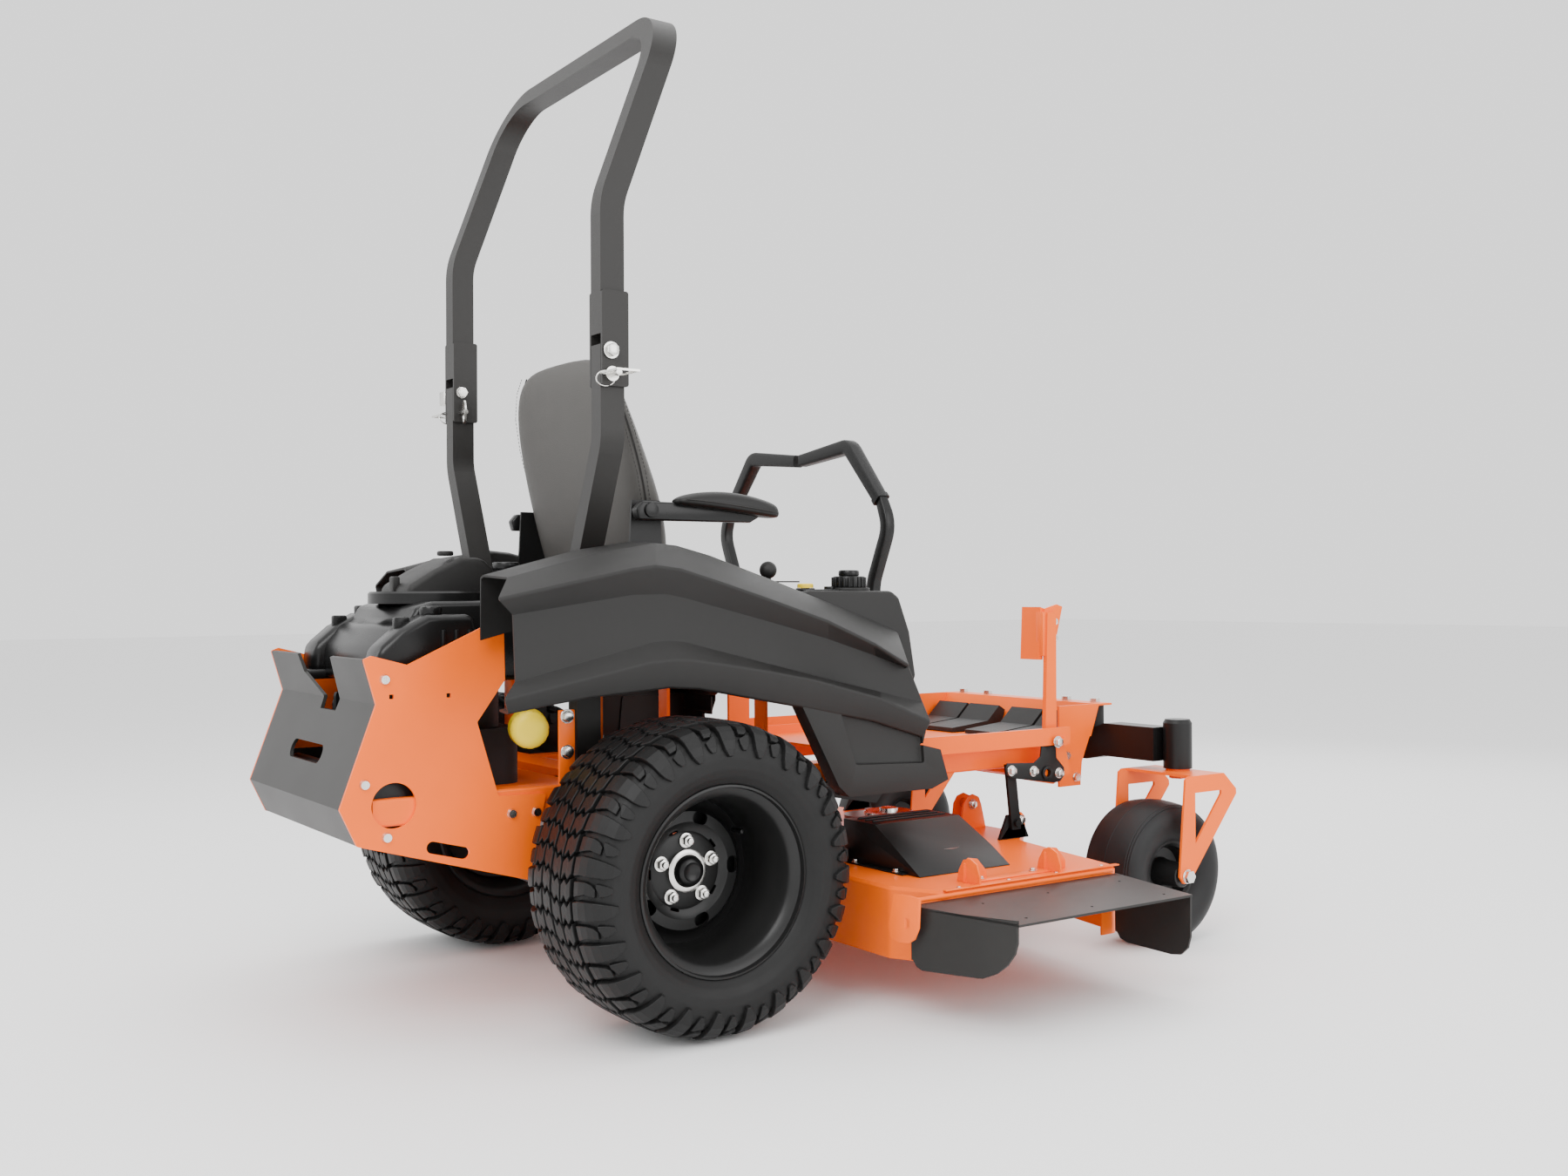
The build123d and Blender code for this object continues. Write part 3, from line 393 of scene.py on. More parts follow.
def treadPitch():  # the blocks of one pitch on one side, laid out flat
    pitch = 2 * math.pi * driveTyre["radius"] / driveTyre["pitches"]
    gap, lean = driveTyre["groove"], driveTyre["lean"]
    half, tread = pitch / 2, driveTyre["tread"]
    blocks = []
    for k in range(2):
        u = k * half
        blocks.append(treadBlock("inner", [(0.003, u, u + half - gap),
                                           (0.014, u + lean * .8, u + half - gap + lean * .8),
                                           (0.024, u + lean * .2, u + half - gap + lean * .2),
                                           (0.034, u + lean, u + half - gap + lean)], tread))
        v = u + 0.4 * half
        blocks.append(treadBlock("outer", [(0.0385, v, v + half - gap),
                                           (0.050, v - lean * .7, v + half - gap - lean * .9),
                                           (0.061, v - lean * .2, v + half - gap - lean * .2),
                                           (0.073, v - lean, v + half - gap - lean)], tread))
    # long lug, which runs down onto the sidewall and ends in a point
    w = 0.54 * pitch
    blocks.append(treadBlock("longLug", [(0.078, 0, w - gap), (0.094, -.004, w - gap - .004),
                                         (0.110, -.004, w - gap - .004), (0.124, -.003, w - gap - .004),
                                         (0.140, 0, w - gap - .003), (0.153, .004, w - gap - .006),
                                         (0.166, .010, w - gap - .016)], tread))
    # short lug, split by a slanting cut
    x = w
    blocks.append(treadBlock("shortLug", [(0.080, x, pitch - gap), (0.094, x - .002, pitch - gap - .004),
                                          (0.108, x - .002, pitch - gap - .008),
                                          (0.120, x + .002, pitch - gap - .005),
                                          (0.127, x + .010, pitch - gap - .004)], tread * 0.8))
    blocks.append(treadBlock("lugFoot", [(0.126, x - .001, x + .006), (0.134, x, pitch - gap - .004),
                                         (0.146, x + .003, pitch - gap - .006),
                                         (0.155, x + .008, pitch - gap - .012)], tread * 0.62))
    return joined("pitch", blocks)


def wrapTread(block, shift, side):  # bends the flat blocks round the tyre; side is 1 or -1 across it
    layer = block.data.uv_layers.active or block.data.uv_layers.new(name="tread")
    flat = [v.co.copy() for v in block.data.vertices]
    for loop in block.data.loops:
        co = flat[loop.vertex_index]
        layer.data[loop.index].uv = (co.x, co.y)
    for v, co in zip(block.data.vertices, flat):
        place, lean = blendedCarcass(co.y)
        reach = co.z - 0.0012 if co.z < 0.0005 else co.z * max(0.55, 1 - max(0, co.y - 0.12) * 7)
        y, r = place + lean * reach
        angle = side * (co.x + shift) / driveTyre["radius"]
        v.co = Vector((math.sin(angle) * r, side * y, math.cos(angle) * r))
    block.data.update()


def makeDriveTyre(name, centre):
    halfSection = driveTyre["carcass"]
    points = [Vector((0, y, r)) for y, r in reversed(halfSection)] + [Vector((0, -y, r)) for y,
                                                                      r in halfSection[1:]]
    rounded = []
    for before, here, after in zip([points[0]] + points[:-1], points, points[1:] + [points[-1]]):
        rounded += [here * 0.75 + before * 0.25, here, here * 0.75 + after * 0.25]
    carcass = spun("carcass", [centre + p for p in rounded[1:-1]], centre, (0, 1, 0), 108)
    smooth(carcass, 60)
    pieces = [carcass]
    for side in (1, -1):
        source = treadPitch()
        wrapTread(source, driveTyre["stagger"] * side, side)
        for step in range(driveTyre["pitches"]):
            pick(source)
            if step:
                bpy.ops.object.duplicate()
            copy = bpy.context.object
            turn = 2 * math.pi * step / driveTyre["pitches"]
            copy.data.transform(Matrix.Translation(centre) @ Matrix.Rotation(turn, 4, "Y"))
            pieces.append(copy)
            if not step:  # the first copy stays as the pattern for the rest
                pick(copy)
                bpy.ops.object.duplicate()
                source = bpy.context.object
                source.data.transform((Matrix.Translation(centre) @ Matrix.Rotation(turn, 4, "Y")).inverted())
        bpy.data.objects.remove(source, do_unlink=True)
    return joined(name, pieces)


def treadMaterial():  # the tyre rubber with thin wavy sipes across the blocks, which are bumped in and painted darker as painted shade in the cuts
    material = rubber.copy()
    material.name = "treadRubber"
    nodes, links = material.node_tree.nodes, material.node_tree.links
    shader = nodes["Principled BSDF"]
    uv = nodes.new("ShaderNodeUVMap")
    uv.uv_map = "tread"
    wave = nodes.new("ShaderNodeTexWave")
    wave.wave_type, wave.bands_direction = "BANDS", "X"
    wave.inputs["Scale"].default_value = 46
    wave.inputs["Distortion"].default_value = 2.4
    wave.inputs["Detail"].default_value = 0
    wave.inputs["Detail Scale"].default_value = 2
    links.new(uv.outputs["UV"], wave.inputs["Vector"])
    thin = nodes.new("ShaderNodeValToRGB")
    thin.color_ramp.elements[0].position, thin.color_ramp.elements[1].position = 0.02, 0.09
    links.new(wave.outputs["Fac"], thin.inputs["Fac"])
    cut = nodes.new("ShaderNodeBump")
    cut.inputs["Strength"].default_value = 0.9
    cut.inputs["Distance"].default_value = 0.002
    links.new(thin.outputs["Color"], cut.inputs["Height"])
    oldBump = next(n for n in nodes if n.type == "BUMP" and n is not cut)
    links.new(oldBump.outputs["Normal"], cut.inputs["Normal"])
    links.new(cut.outputs["Normal"], shader.inputs["Normal"])
    # painted shade: the sipe lines get a darker rubber colour, standing in for the shade inside the cuts
    sipePaintedShade = nodes.new("ShaderNodeMix")
    sipePaintedShade.data_type = "RGBA"
    sipePaintedShade.inputs["A"].default_value = (0.004, 0.004, 0.004, 1)
    oldColour = next(n for n in nodes if n.type == "VALTORGB" and n is not thin)
    links.new(oldColour.outputs["Color"], sipePaintedShade.inputs["B"])
    links.new(thin.outputs["Color"], sipePaintedShade.inputs["Factor"])
    links.new(sipePaintedShade.outputs["Result"], shader.inputs["Base Color"])
    return material


treadRubber = treadMaterial()
leftCentre = (Vector(tyreLow) + Vector(tyreHigh)) / 2
rightCentre = (Vector(otherLow) + Vector(otherHigh)) / 2
leftTyre = makeDriveTyre("leftDriveTyre", leftCentre)
pick(leftTyre)
bpy.ops.object.duplicate()
rightTyre = named("rightDriveTyre")
rightTyre.data.transform(Matrix.Translation(rightCentre - leftCentre))
finished(leftTyre, treadRubber, "left_drive_wheel", ["left_drive_tyre"])
finished(rightTyre, treadRubber, "right_drive_wheel", ["right_drive_tyre"])
print("drive tyres made")

# fenders: a creased shell over each wheel, with a recessed lower panel and a console on top
fender = {"wall": 0.004, "round": 0.0035, "inner": 320, "returnY": 332, "leftRear": -262,
          "ridge": (440, ((-356, 843), (-262, 867), (-168, 891), (-58, 908), (-13, 904), (60, 886),
                          (200, 840), (340, 793), (461, 751), (516, 730))),
          "upperRib": (515, ((-406, 808), (-278, 834), (-149, 860), (-100, 866), (-49, 860), (30, 838),
                             (160, 799), (284, 760), (400, 712), (485, 667))),
          "upperStep": (490, ((-370, 783), (-250, 800), (-135, 816), (-66, 817), (-20, 808), (31, 795),
                              (160, 763), (303, 726), (420, 690), (505, 662))),
          "lowerStep": (491, ((-366, 663), (-230, 695), (-97, 726), (-62, 729), (-27, 725), (31, 710),
                              (170, 675), (310, 640), (431, 612), (541, 586))),
          "lowerRib": (515, ((-396, 636), (-250, 664), (-111, 691), (-66, 694), (-23, 692), (60, 679),
                             (150, 664), (250, 645), (412, 602), (541, 549))),
          "hem": (505, ((-386, 614), (-309, 625), (-232, 635), (-67, 646), (-3, 641), (70, 627), (150, 611),
                        (228, 596), (400, 560), (530, 520)))}


def fenderRow(width, outline, drop=0, inset=0):
    row = [at(x, -(width - inset), z - drop) for x, z in outline]
    last = outline[-1]
    closing = min(width, fender["returnY"])
    return row + [at(last[0] - 2, -closing, last[1] - drop)]


def makeFender():
    ridge = fender["ridge"][1]
    rows = [fenderRow(fender["inner"], ridge, 110), fenderRow(fender["inner"] + 2, ridge, -2),
            fenderRow(fender["inner"] + 14, ridge, -6), fenderRow(*fender["ridge"]),
            fenderRow(*fender["upperRib"]), fenderRow(*fender["upperStep"]),
            fenderRow(*fender["lowerStep"]), fenderRow(*fender["lowerRib"]), fenderRow(*fender["hem"]),
            fenderRow(*fender["hem"], -3, 34)]
    shell = gridOf("fenderShell", rows)
    bevelled(shell, fender["round"], 4, 12)
    apply(shell, "SOLIDIFY", thickness=fender["wall"], offset=-1)
    # lower front panel with its recess
    panel = slab("lowerPanel", [at(x, -470, z) for x, z in ((228, 596), (316, 432), (342, 409), (554, 409),
                                                            (599, 425), (578, 489), (530, 501), (545, 549),
                                                            (412, 598), (320, 624), (228, 645))], across(-38))
    hollow = slab("recess", [at(x, -497, z) for x, z in ((322, 576), (528, 542), (534, 464), (358, 472))],
                  across(-30))
    bevelled(hollow, 0.006, 3)
    carved(panel, hollow)
    bevelled(panel, 0.007, 3, 25)
    foot = slab("panelFoot", [at(x, -330, z) for x, z in ((336, 409), (554, 409), (597, 425), (580, 487),
                                                          (535, 500), (535, 560), (350, 560))], across(-150))
    bevelled(foot, 0.006, 3, 25)
    tunnel = addCube("tunnel", at(320, -372, 395), at(640, -300, 513))
    carved(foot, tunnel)
    hollowing = slab("hollowing", [at(x, -320, z) for x, z in ((300, 380), (540, 380), (585, 430), (570, 480),
                                                               (528, 492), (528, 570), (300, 570))],
                     across(-145))
    carved(foot, hollowing)
    # console: top plate with a raised lip and a sloping front
    console = slab("console", [at(x, -322, z) for x, z in ((262, 800), (300, 822), (514, 820), (534, 806),
                                                           (562, 733), (578, 640), (545, 560), (520, 560),
                                                           (500, 700), (262, 780))], across(-108))
    bevelled(console, 0.008, 4, 20)
    plinth = addRound("capPlinth", at(443, -372, 822), 0.044, 0.010, "Z", 48)
    bevelled(plinth, 0.002, 2)
    whole = joined("rightFender", [shell, panel, foot, console, plinth])
    return smooth(whole, 30)


rightFender = makeFender()
leftFender = mirrored("leftFender", rightFender)
# the left fender ends further forward
carved(leftFender, addCube("behind", at(-600, 300, 560), at(fender["leftRear"], 560, 960)))
finished(rightFender, plastic, "chassis", ["right_fender"])
finished(leftFender, plastic, "chassis", ["left_fender"])
print("fenders made")

# seat: backrest and cushion, each a crowned pad with a side seam; the backrest also has stitching
backrest = {  # height: half width, rear face, side seam, bolster front, hollow middle (all mm)
    "sections": ((802, 196, 30, 60, 88, 74), (830, 218, 24, 58, 98, 70), (900, 236, 8, 46, 104, 56),
                 (980, 250, -8, 30, 88, 38), (1060, 257, -24, 12, 56, 16), (1140, 254, -40, -10, 24, -6),
                 (1210, 238, -54, -28, 2, -22), (1262, 208, -62, -38, -8, -26),
                 (1292, 168, -60, -44, -16, -28), (1304, 110, -52, -44, -26, -34)),
    "stitch": 0.0085, "stitchRows": (("A", -9), ("B", 11)), "seamSize": 0.0016}


def backSection(z, half, rear, seam, bolster, middle):  # one closed ring, from the rear face's middle
    right = [(rear, 0), (rear + 1, half * .45), (rear + 5, half * .80), (rear + 14, half * .95), (seam, half),
             (seam + (bolster - seam) * .55, half * .985), (bolster, half * .90), (bolster - 3, half * .74),
             (middle + 4, half * .60), (middle, half * .3), (middle, 0)]
    ring = right + [(x, -y) for x, y in reversed(right[1:-1])] + [right[0]]
    return [at(x, y, z) for x, y in ring]


def closedPad(name, rows, levels):
    pad = gridOf(name, rows)
    editAll()
    bpy.ops.mesh.remove_doubles(threshold=0.0002)
    bpy.ops.mesh.select_all(action="DESELECT")
    bpy.ops.mesh.select_non_manifold()
    bpy.ops.mesh.fill_holes(sides=0)
    faceOutwards()
    apply(pad, "SUBSURF", levels=levels, render_levels=levels)
    return smooth(pad, 60)


def tubeAlong(name, points, radius, closed=False):
    curve = bpy.data.curves.new(name, "CURVE")
    curve.dimensions = "3D"
    curve.bevel_depth = radius
    curve.bevel_resolution = 2
    spline = curve.splines.new("NURBS")
    spline.points.add(len(points) - 1)
    for point, place in zip(spline.points, points):
        point.co = (*place, 1)
    spline.use_endpoint_u = not closed
    spline.use_cyclic_u = closed
    spline.order_u = 3
    curve.use_fill_caps = True
    nothingSelected()
    obj = bpy.data.objects.new(name, curve)
    bpy.context.scene.collection.objects.link(obj)
    pick(obj)
    bpy.ops.object.convert(target="MESH")
    return named(name)


def stitchesAlong(name, points, outward, spacing):  # short threads laid end to end
    threads = []
    for here, there in zip(points, points[1:]):
        run = Vector(there) - Vector(here)
        for k in range(max(1, round(run.length / spacing))):
            start = Vector(here) + run.normalized() * spacing * (k + 0.15) + outward
            threads.append((start, start + run.normalized() * spacing * 0.62))
    nothingSelected()
    bpy.ops.mesh.primitive_cylinder_add(vertices=6, radius=0.0007, depth=1)
    pattern = named("thread")
    copies = []
    for start, end in threads:
        copy = pattern.copy()
        copy.data = pattern.data.copy()
        bpy.context.scene.collection.objects.link(copy)
        run = end - start
        copy.data.transform(Matrix.Translation((start + end) / 2)
                            @ run.to_track_quat("Z", "Y").to_matrix().to_4x4()
                            @ Matrix.Diagonal((1, 1, run.length, 1)))
        copies.append(copy)
    bpy.data.objects.remove(pattern, do_unlink=True)
    return joined(name, copies)


back = closedPad("seatBackPad", [backSection(*s) for s in backrest["sections"]], 2)
finished(back, leather, "seat", ["seat_back"])
threadMaterial = surface("threadGrey", "seat_leather", (0.02, 0.019, 0.018), 0.7, grain=0.1)
for hand, sign in hands:
    seam = [at(s[3] + 2, sign * (s[1] - 0.6), s[0]) for s in backrest["sections"][1:-1]]
    finished(tubeAlong(hand + "BackSeam", seam, backrest["seamSize"]), threadMaterial, "seat")
    for row, offset in backrest["stitchRows"]:
        line = [at(s[3] + offset, sign * (s[1] - 0.5), s[0]) for s in backrest["sections"][1:-1]]
        stitches = stitchesAlong(hand + "Stitches" + row, line, Vector((0, sign * .0004, 0)),
                                 backrest["stitch"])
        finished(stitches, threadMaterial, "seat")

cushion = {"rear": 106, "front": 454, "half": 238, "bottom": 736, "top": 850, "sections": 10,
           "seam": (150, 220, 300, 380, 420), "seamSize": 0.0016}


def cushionSection(k, total):  # a ring round the cushion at one distance from the rear
    t = k / total
    x = cushion["rear"] + (cushion["front"] - cushion["rear"]) * t
    ease = math.sin(math.pi * min(1, max(0.035, min(t, 1 - t) * 3.2)) / 2)
    half = cushion["half"] * (0.86 + 0.14 * ease)
    top = cushion["bottom"] + (cushion["top"] - cushion["bottom"]) * (0.62 + 0.38 * ease)
    low = cushion["bottom"] + 8 * (1 - ease)
    crown = 10 * math.sin(math.pi * t)
    ring = [(0, low), (half * .8, low), (half * .96, low + 16), (half, (low + top) / 2),
            (half * .97, top - 22), (half * .86, top), (half * .62, top - 2), (half * .55, top - 7),
            (half * .3, top - 4 - crown * .3), (0, top - 4 - crown * .3)]
    ring = ring + [(-y, z) for y, z in reversed(ring[1:-1])] + [ring[0]]
    return [at(x, y, z) for y, z in ring]


rings = [cushionSection(k, cushion["sections"]) for k in range(cushion["sections"] + 1)]
seatPad = closedPad("seatCushionPad", rings, 2)
finished(seatPad, leather, "seat", ["seat_cushion"])
for hand, sign in hands:
    seam = [at(x, sign * (cushion["half"] * .93), cushion["top"] - 9) for x in cushion["seam"]]
    finished(tubeAlong(hand + "CushionSeam", seam, cushion["seamSize"]), threadMaterial, "seat")
print("seat made")

# rims: rolled lips, a stepped barrel and a dished disc with vents, with nuts, hub ring, cap and valve
wheel = {"profile": ((121, 172), (120, 176), (116, 177.5), (113, 175), (111, 168), (103, 157), (96, 151),
                     (60, 147), (48, 143), (-34, 142), (-60, 149), (-96, 153), (-104, 160), (-114, 172),
                     (-118, 177), (-121, 173), (-116, 164), (-104, 154), (-60, 145), (-38, 138)),
         "disc": ((-38, 138), (-36, 126), (-30, 119), (-22, 112), (-21, 92), (-27, 84), (-29, 74),
                  (-26, 68), (-26, 30), (-31, 30), (-31, 66), (-34, 76), (-32, 88), (-27, 95), (-28, 110),
                  (-36, 117), (-42, 128), (-44, 138)), "backing": ((-50, 70), (-50, 139), (-53, 139),
                                                                   (-53, 70), (-50, 70)),
         "hubRing": ((-27, 29), (-17, 29), (-15, 31), (-15, 37), (-17, 41), (-27, 41), (-27, 29)),
         "cap": ((-30, 29), (-8, 29), (-3, 25), (-1, 18), (-4, 14), (-4, 0)), "circle": 57.15, "nuts": 5,
         "vents": 5, "ventRadius": 101, "slotRadius": 76, "steps": 96}


def ringPoints(centre, outward, profile):
    return [centre + Vector((0, outward * y / 1000, r / 1000)) for y, r in profile]


def makeRim(hand, sign, centre):
    rim = spun("barrel", ringPoints(centre, sign, wheel["profile"] + wheel["profile"][:1]), centre, (0, 1, 0),
               wheel["steps"])
    disc = spun("disc", ringPoints(centre, sign, wheel["disc"] + wheel["disc"][:1]), centre, (0, 1, 0),
                wheel["steps"])
    cutters = []
    for k in range(wheel["vents"]):
        turn = 2 * math.pi * k / wheel["vents"] + 0.3
        for shift, high, wide, radius in ((0, .022, .032, wheel["ventRadius"]),
                                           (math.pi / 5, .006, .020, wheel["slotRadius"])):
            angle = turn + shift
            cutter = addCube("vent", centre + Vector((-wide / 2, -.02, radius / 1000 - high / 2)),
                             centre + Vector((wide / 2, .02, radius / 1000 + high / 2)))
            bevelled(cutter, min(high, wide) * .42, 4)
            cutter.data.transform(Matrix.Translation(Vector((0, sign * -0.030, 0))))
            cutter.data.transform(turnAbout(centre, angle, "Y"))
            cutters.append(cutter)
    carved(disc, joined("vents", cutters))
    backing = spun("backing", ringPoints(centre, sign, wheel["backing"]), centre, (0, 1, 0), 64)
    whole = smooth(joined(hand + "DriveRim", [rim, disc, backing]), 35)
    finished(whole, rimPaint, hand + "_drive_wheel", [hand + "_drive_rim"])
    silver = []
    reach = wheel["circle"] / 1000
    for k in range(wheel["nuts"]):
        angle = 2 * math.pi * k / wheel["nuts"] + math.pi / 2
        spot = centre + Vector((math.cos(angle) * reach, sign * -0.026, math.sin(angle) * reach))
        nut = addRound("nut", spot + Vector((0, sign * .0095, 0)), .0112, .013, "Y", 6)
        bevelled(nut, .0012, 2, 40)
        washer = addRound("washer", spot + Vector((0, sign * .0020, 0)), .0145, .004, "Y", 32)
        stud = addRound("stud", spot + Vector((0, sign * .0145, 0)), .0062, .017, "Y", 16)
        silver += [nut, bevelled(washer, .001, 2), bevelled(stud, .0012, 2)]
    silver.append(spun("ring", ringPoints(centre, sign, wheel["hubRing"]), centre, (0, 1, 0), 64))
    bolts = smooth(joined(hand + "WheelNuts", silver), 35)
    finished(bolts, zinc, hand + "_drive_wheel", [hand + "_wheel_nuts"])
    cap = spun("cap", ringPoints(centre, sign, wheel["cap"]), centre, (0, 1, 0), 48)
    stem = addRound("valve", centre + Vector((.098, sign * .004, .070)), .0045, .036, "Y", 16)
    finished(smooth(joined(hand + "HubCap", [cap, bevelled(stem, .001, 2)]), 40), shinyPlastic, hand
             + "_drive_wheel")


for (hand, sign), centre in zip(hands, (leftCentre, rightCentre)):
    makeRim(hand, sign, centre)
print("rims made")

# casters: smooth tyre with a parting line and fine edge ribs, and a black hub with an axle cap
caster = {"tyre": ((58, 74), (66, 82), (74, 96), (79, 112), (80, 124), (77, 138), (70, 149), (66, 152),
                   (66.5, 153.4), (63, 154.2), (62, 156.0), (58, 156.4), (57, 158.0), (40, 161.4),
                   (20, 163.4), (1.2, 164), (.8, 164.6)), "hub": ((59, 76), (58, 70), (52, 64), (36, 60),
                                                                  (26, 56), (24, 44), (24, 34), (40, 30),
                                                                  (92, 27), (94, 24), (94, 10)), "x": 1233,
          "y": 490, "z": 164}


def makeCaster(hand, sign):
    centre = at(caster["x"], sign * caster["y"], caster["z"])
    half = caster["tyre"]
    outline = [(y, r) for y, r in half] + [(-y, r) for y, r in reversed(half)]
    tyre = spun(hand + "CasterTyre", ringPoints(centre, 1, outline + [(0, 72), outline[0]]), centre,
                (0, 1, 0), 112)
    finished(smooth(tyre, 28), rubber, hand + "_caster_wheel", [hand + "_caster_tyre"])
    side = caster["hub"]
    outline = [(y, r) for y, r in side] + [(-y, r) for y, r in reversed(side)]
    hub = spun("hub", ringPoints(centre, 1, outline), centre, (0, 1, 0), 72)
    nipple = addRound("greaseNipple", centre + Vector((0, 0, .070)), .004, .012, "Z", 12)
    finished(smooth(joined(hand + "CasterHub", [hub, nipple]), 30), rimPaint, hand + "_caster_wheel",
             [hand + "_caster_hub"])


for hand, sign in hands:
    makeCaster(hand, sign)
print("casters made")


# levers: square tube arms with soft rubber grips
def sweptBar(name, path, half, corner, acrossX):  # a rounded square carried along a path in one upright plane
    rows = []
    for k, here in enumerate(path):
        before, after = path[max(0, k - 1)], path[min(len(path) - 1, k + 1)]
        run = (after - before).normalized()
        outward = run.cross(acrossX).normalized()
        shrink = 0.86 if k in (0, len(path) - 1) else 1
        ring = []
        for a, b in ((1, 1), (-1, 1), (-1, -1), (1, -1)):
            for turn in (0, 1, 2):
                t = math.radians(45 * turn)
                first, second = (math.cos(t), math.sin(t)) if a * b > 0 else (math.sin(t), math.cos(t))
                reach = half - corner
                ring.append(here + (acrossX * a * (reach + corner * first)
                                    + outward * b * (reach + corner * second)) * shrink)
        rows.append(ring + ring[:1])
    bar = gridOf(name, rows)
    editAll()
    bpy.ops.mesh.remove_doubles(threshold=0.00001)
    bpy.ops.mesh.select_all(action="DESELECT")
    bpy.ops.mesh.select_non_manifold()
    bpy.ops.mesh.edge_face_add()
    faceOutwards()
    return smooth(bar, 50)


def rounded(points, radius, steps=6):  # a path with its corners rounded
    path = [points[0]]
    for before, here, after in zip(points, points[1:], points[2:]):
        back, ahead = (before - here).normalized(), (after - here).normalized()
        reach = min(radius, (before - here).length * .45, (after - here).length * .45)
        for k in range(steps + 1):
            t = k / steps
            path.append((here + back * reach) * (1 - t) ** 2 + here * 2 * t * (1 - t)
                        + (here + ahead * reach) * t ** 2)
    return path + [points[-1]]


lever = {"x": 578, "arm": ((280, 792), (280, 838), (338, 962), (309, 1026)),
         "grip": ((311, 1018), (197, 1146), (10, 1127))}
for hand, sign in hands:
    ahead = Vector((1, 0, 0))
    arm = sweptBar(hand + "LeverArm", rounded([at(lever["x"], sign * y, z) for y, z in lever["arm"]], .045),
                   .0125, .004, ahead)
    finished(arm, blackPaint, hand + "_lever", [hand + "_lever_arm"])
    path = rounded([at(lever["x"], sign * y, z) for y, z in lever["grip"]], .016)
    grip = sweptBar(hand + "Grip", path, .0165, .007, ahead)
    collar = sweptBar("collar", [path[0], path[0] + (path[1] - path[0]).normalized() * .012], .0185, .006,
                      ahead)
    finished(joined(hand + "LeverGrip", [grip, collar]), gripPlastic, hand + "_lever", [hand + "_lever_grip"])
print("levers made")


# armrests: a flat arm under a crowned pad with a seam
def crownedRows(outline, low, high, crown):  # rows run across, from the outline's rear to its front
    rows = []
    for k, (x, inner, outer, base, top) in enumerate(outline):
        width = outer - inner
        lift = high if k not in (0, len(outline) - 1) else high * .7
        ring = [(inner + width * .5, base + low), (inner + width * .12, base + low),
                (inner, base + lift * .45), (inner + width * .10, top - crown * .4),
                (inner + width * .5, top), (outer - width * .10, top - crown * .4),
                (outer, base + lift * .45), (outer - width * .12, base + low)]
        rows.append([(x, y, z) for y, z in ring + ring[:1]])
    return rows


armrest = {"pad": ((60, 288, 322, 996, 1006), (74, 278, 334, 992, 1014), (110, 274, 339, 990, 1022),
                   (170, 273, 341, 984, 1026), (230, 274, 340, 978, 1020), (280, 278, 337, 972, 1008),
                   (304, 288, 328, 972, 998))}
for hand, sign in hands:
    rows = [[at(x, sign * y, z) for x, y, z in row] for row in crownedRows(armrest["pad"], 0, 20, 8)]
    pad = closedPad(hand + "ArmPad", rows, 2)
    finished(pad, leatherBlack, hand + "_armrest_body", [hand + "_armrest"])
    arm = slab(hand + "ArmBar", [at(x, sign * 284, z) for x, z in ((-20, 962), (240, 962), (262, 974),
                                                                   (262, 990), (120, 998), (-12, 1000),
                                                                   (-26, 984))], across(sign * 24))
    bevelled(arm, .004, 3)
    boss = addRound("boss", at(6, sign * 308, 982), .015, .012, "Y", 32)
    finished(smooth(joined(hand + "ArmBar", [arm, bevelled(boss, .002, 2)]), 35), shinyPlastic,
             hand + "_armrest_body")
    seam = [at(x, sign * (outer + .2), base + 12) for x, inner, outer, base, top in armrest["pad"][1:-1]]
    finished(tubeAlong(hand + "ArmSeam", seam, .0012), threadMaterial, hand + "_armrest_body")
print("armrests made")

# engine: moulded cover with a fan shroud, air box, oil caps and the yellow filter
def bar(name, low, high, width=0.0015, segments=2):  # a bevelled block between two corners in millimetres
    first, second = at(*low), at(*high)
    block = addCube(name, [min(a, b) for a, b in zip(first, second)],
                    [max(a, b) for a, b in zip(first, second)])
    return bevelled(block, width, segments) if width else block


def pin(name, place, radius, depth, axis="Z", sides=40, width=0.001):
    return bevelled(addRound(name, at(*place), radius / 1000, depth / 1000, axis, sides), width, 2)


def sideSlab(name, y, depth, outline, width=0.001, segments=2):  # upright plate along the machine
    plate = slab(name, [at(x, y, z) for x, z in outline], Vector((0, depth / 1000, 0)))
    return bevelled(plate, width, segments) if width else plate


def crossSlab(name, x, depth, outline, width=0.001, segments=2):  # upright plate across the machine
    plate = slab(name, [at(x, y, z) for y, z in outline], Vector((depth / 1000, 0, 0)))
    return bevelled(plate, width, segments) if width else plate


def hexHead(place, axis, outward, size=0.011, thick=0.007):  # bolt head with its washer
    middle = at(*place)
    step = Vector({"X": (1, 0, 0), "Y": (0, 1, 0), "Z": (0, 0, 1)}[axis]) * outward
    washer = bevelled(addRound("washer", middle + step * 0.001, size * 1.25, 0.002, axis, 28), 0.0005, 1)
    head = bevelled(addRound("head", middle + step * (0.002 + thick / 2), size, thick, axis, 6), 0.0012, 2)
    return [washer, head]


engine = {"x": -330, "spokes": 24, "ribs": 4, "cover": ((-497, 652), (-493, 715), (-459, 759), (-436, 764),
                                                        (-421, 794), (-388, 804), (-160, 806), (-146, 790),
                                                        (-146, 648)), "airBox": ((-350, 806), (-345, 836),
                                                                                 (-291, 869), (-232, 896),
                                                                                 (-185, 894), (-158, 872),
                                                                                 (-156, 806)),
          "shroud": ((800, 120), (820, 120), (824, 116), (824, 108), (818, 104), (806, 102), (806, 96),
                     (812, 92), (812, 40), (806, 34), (806, 0))}


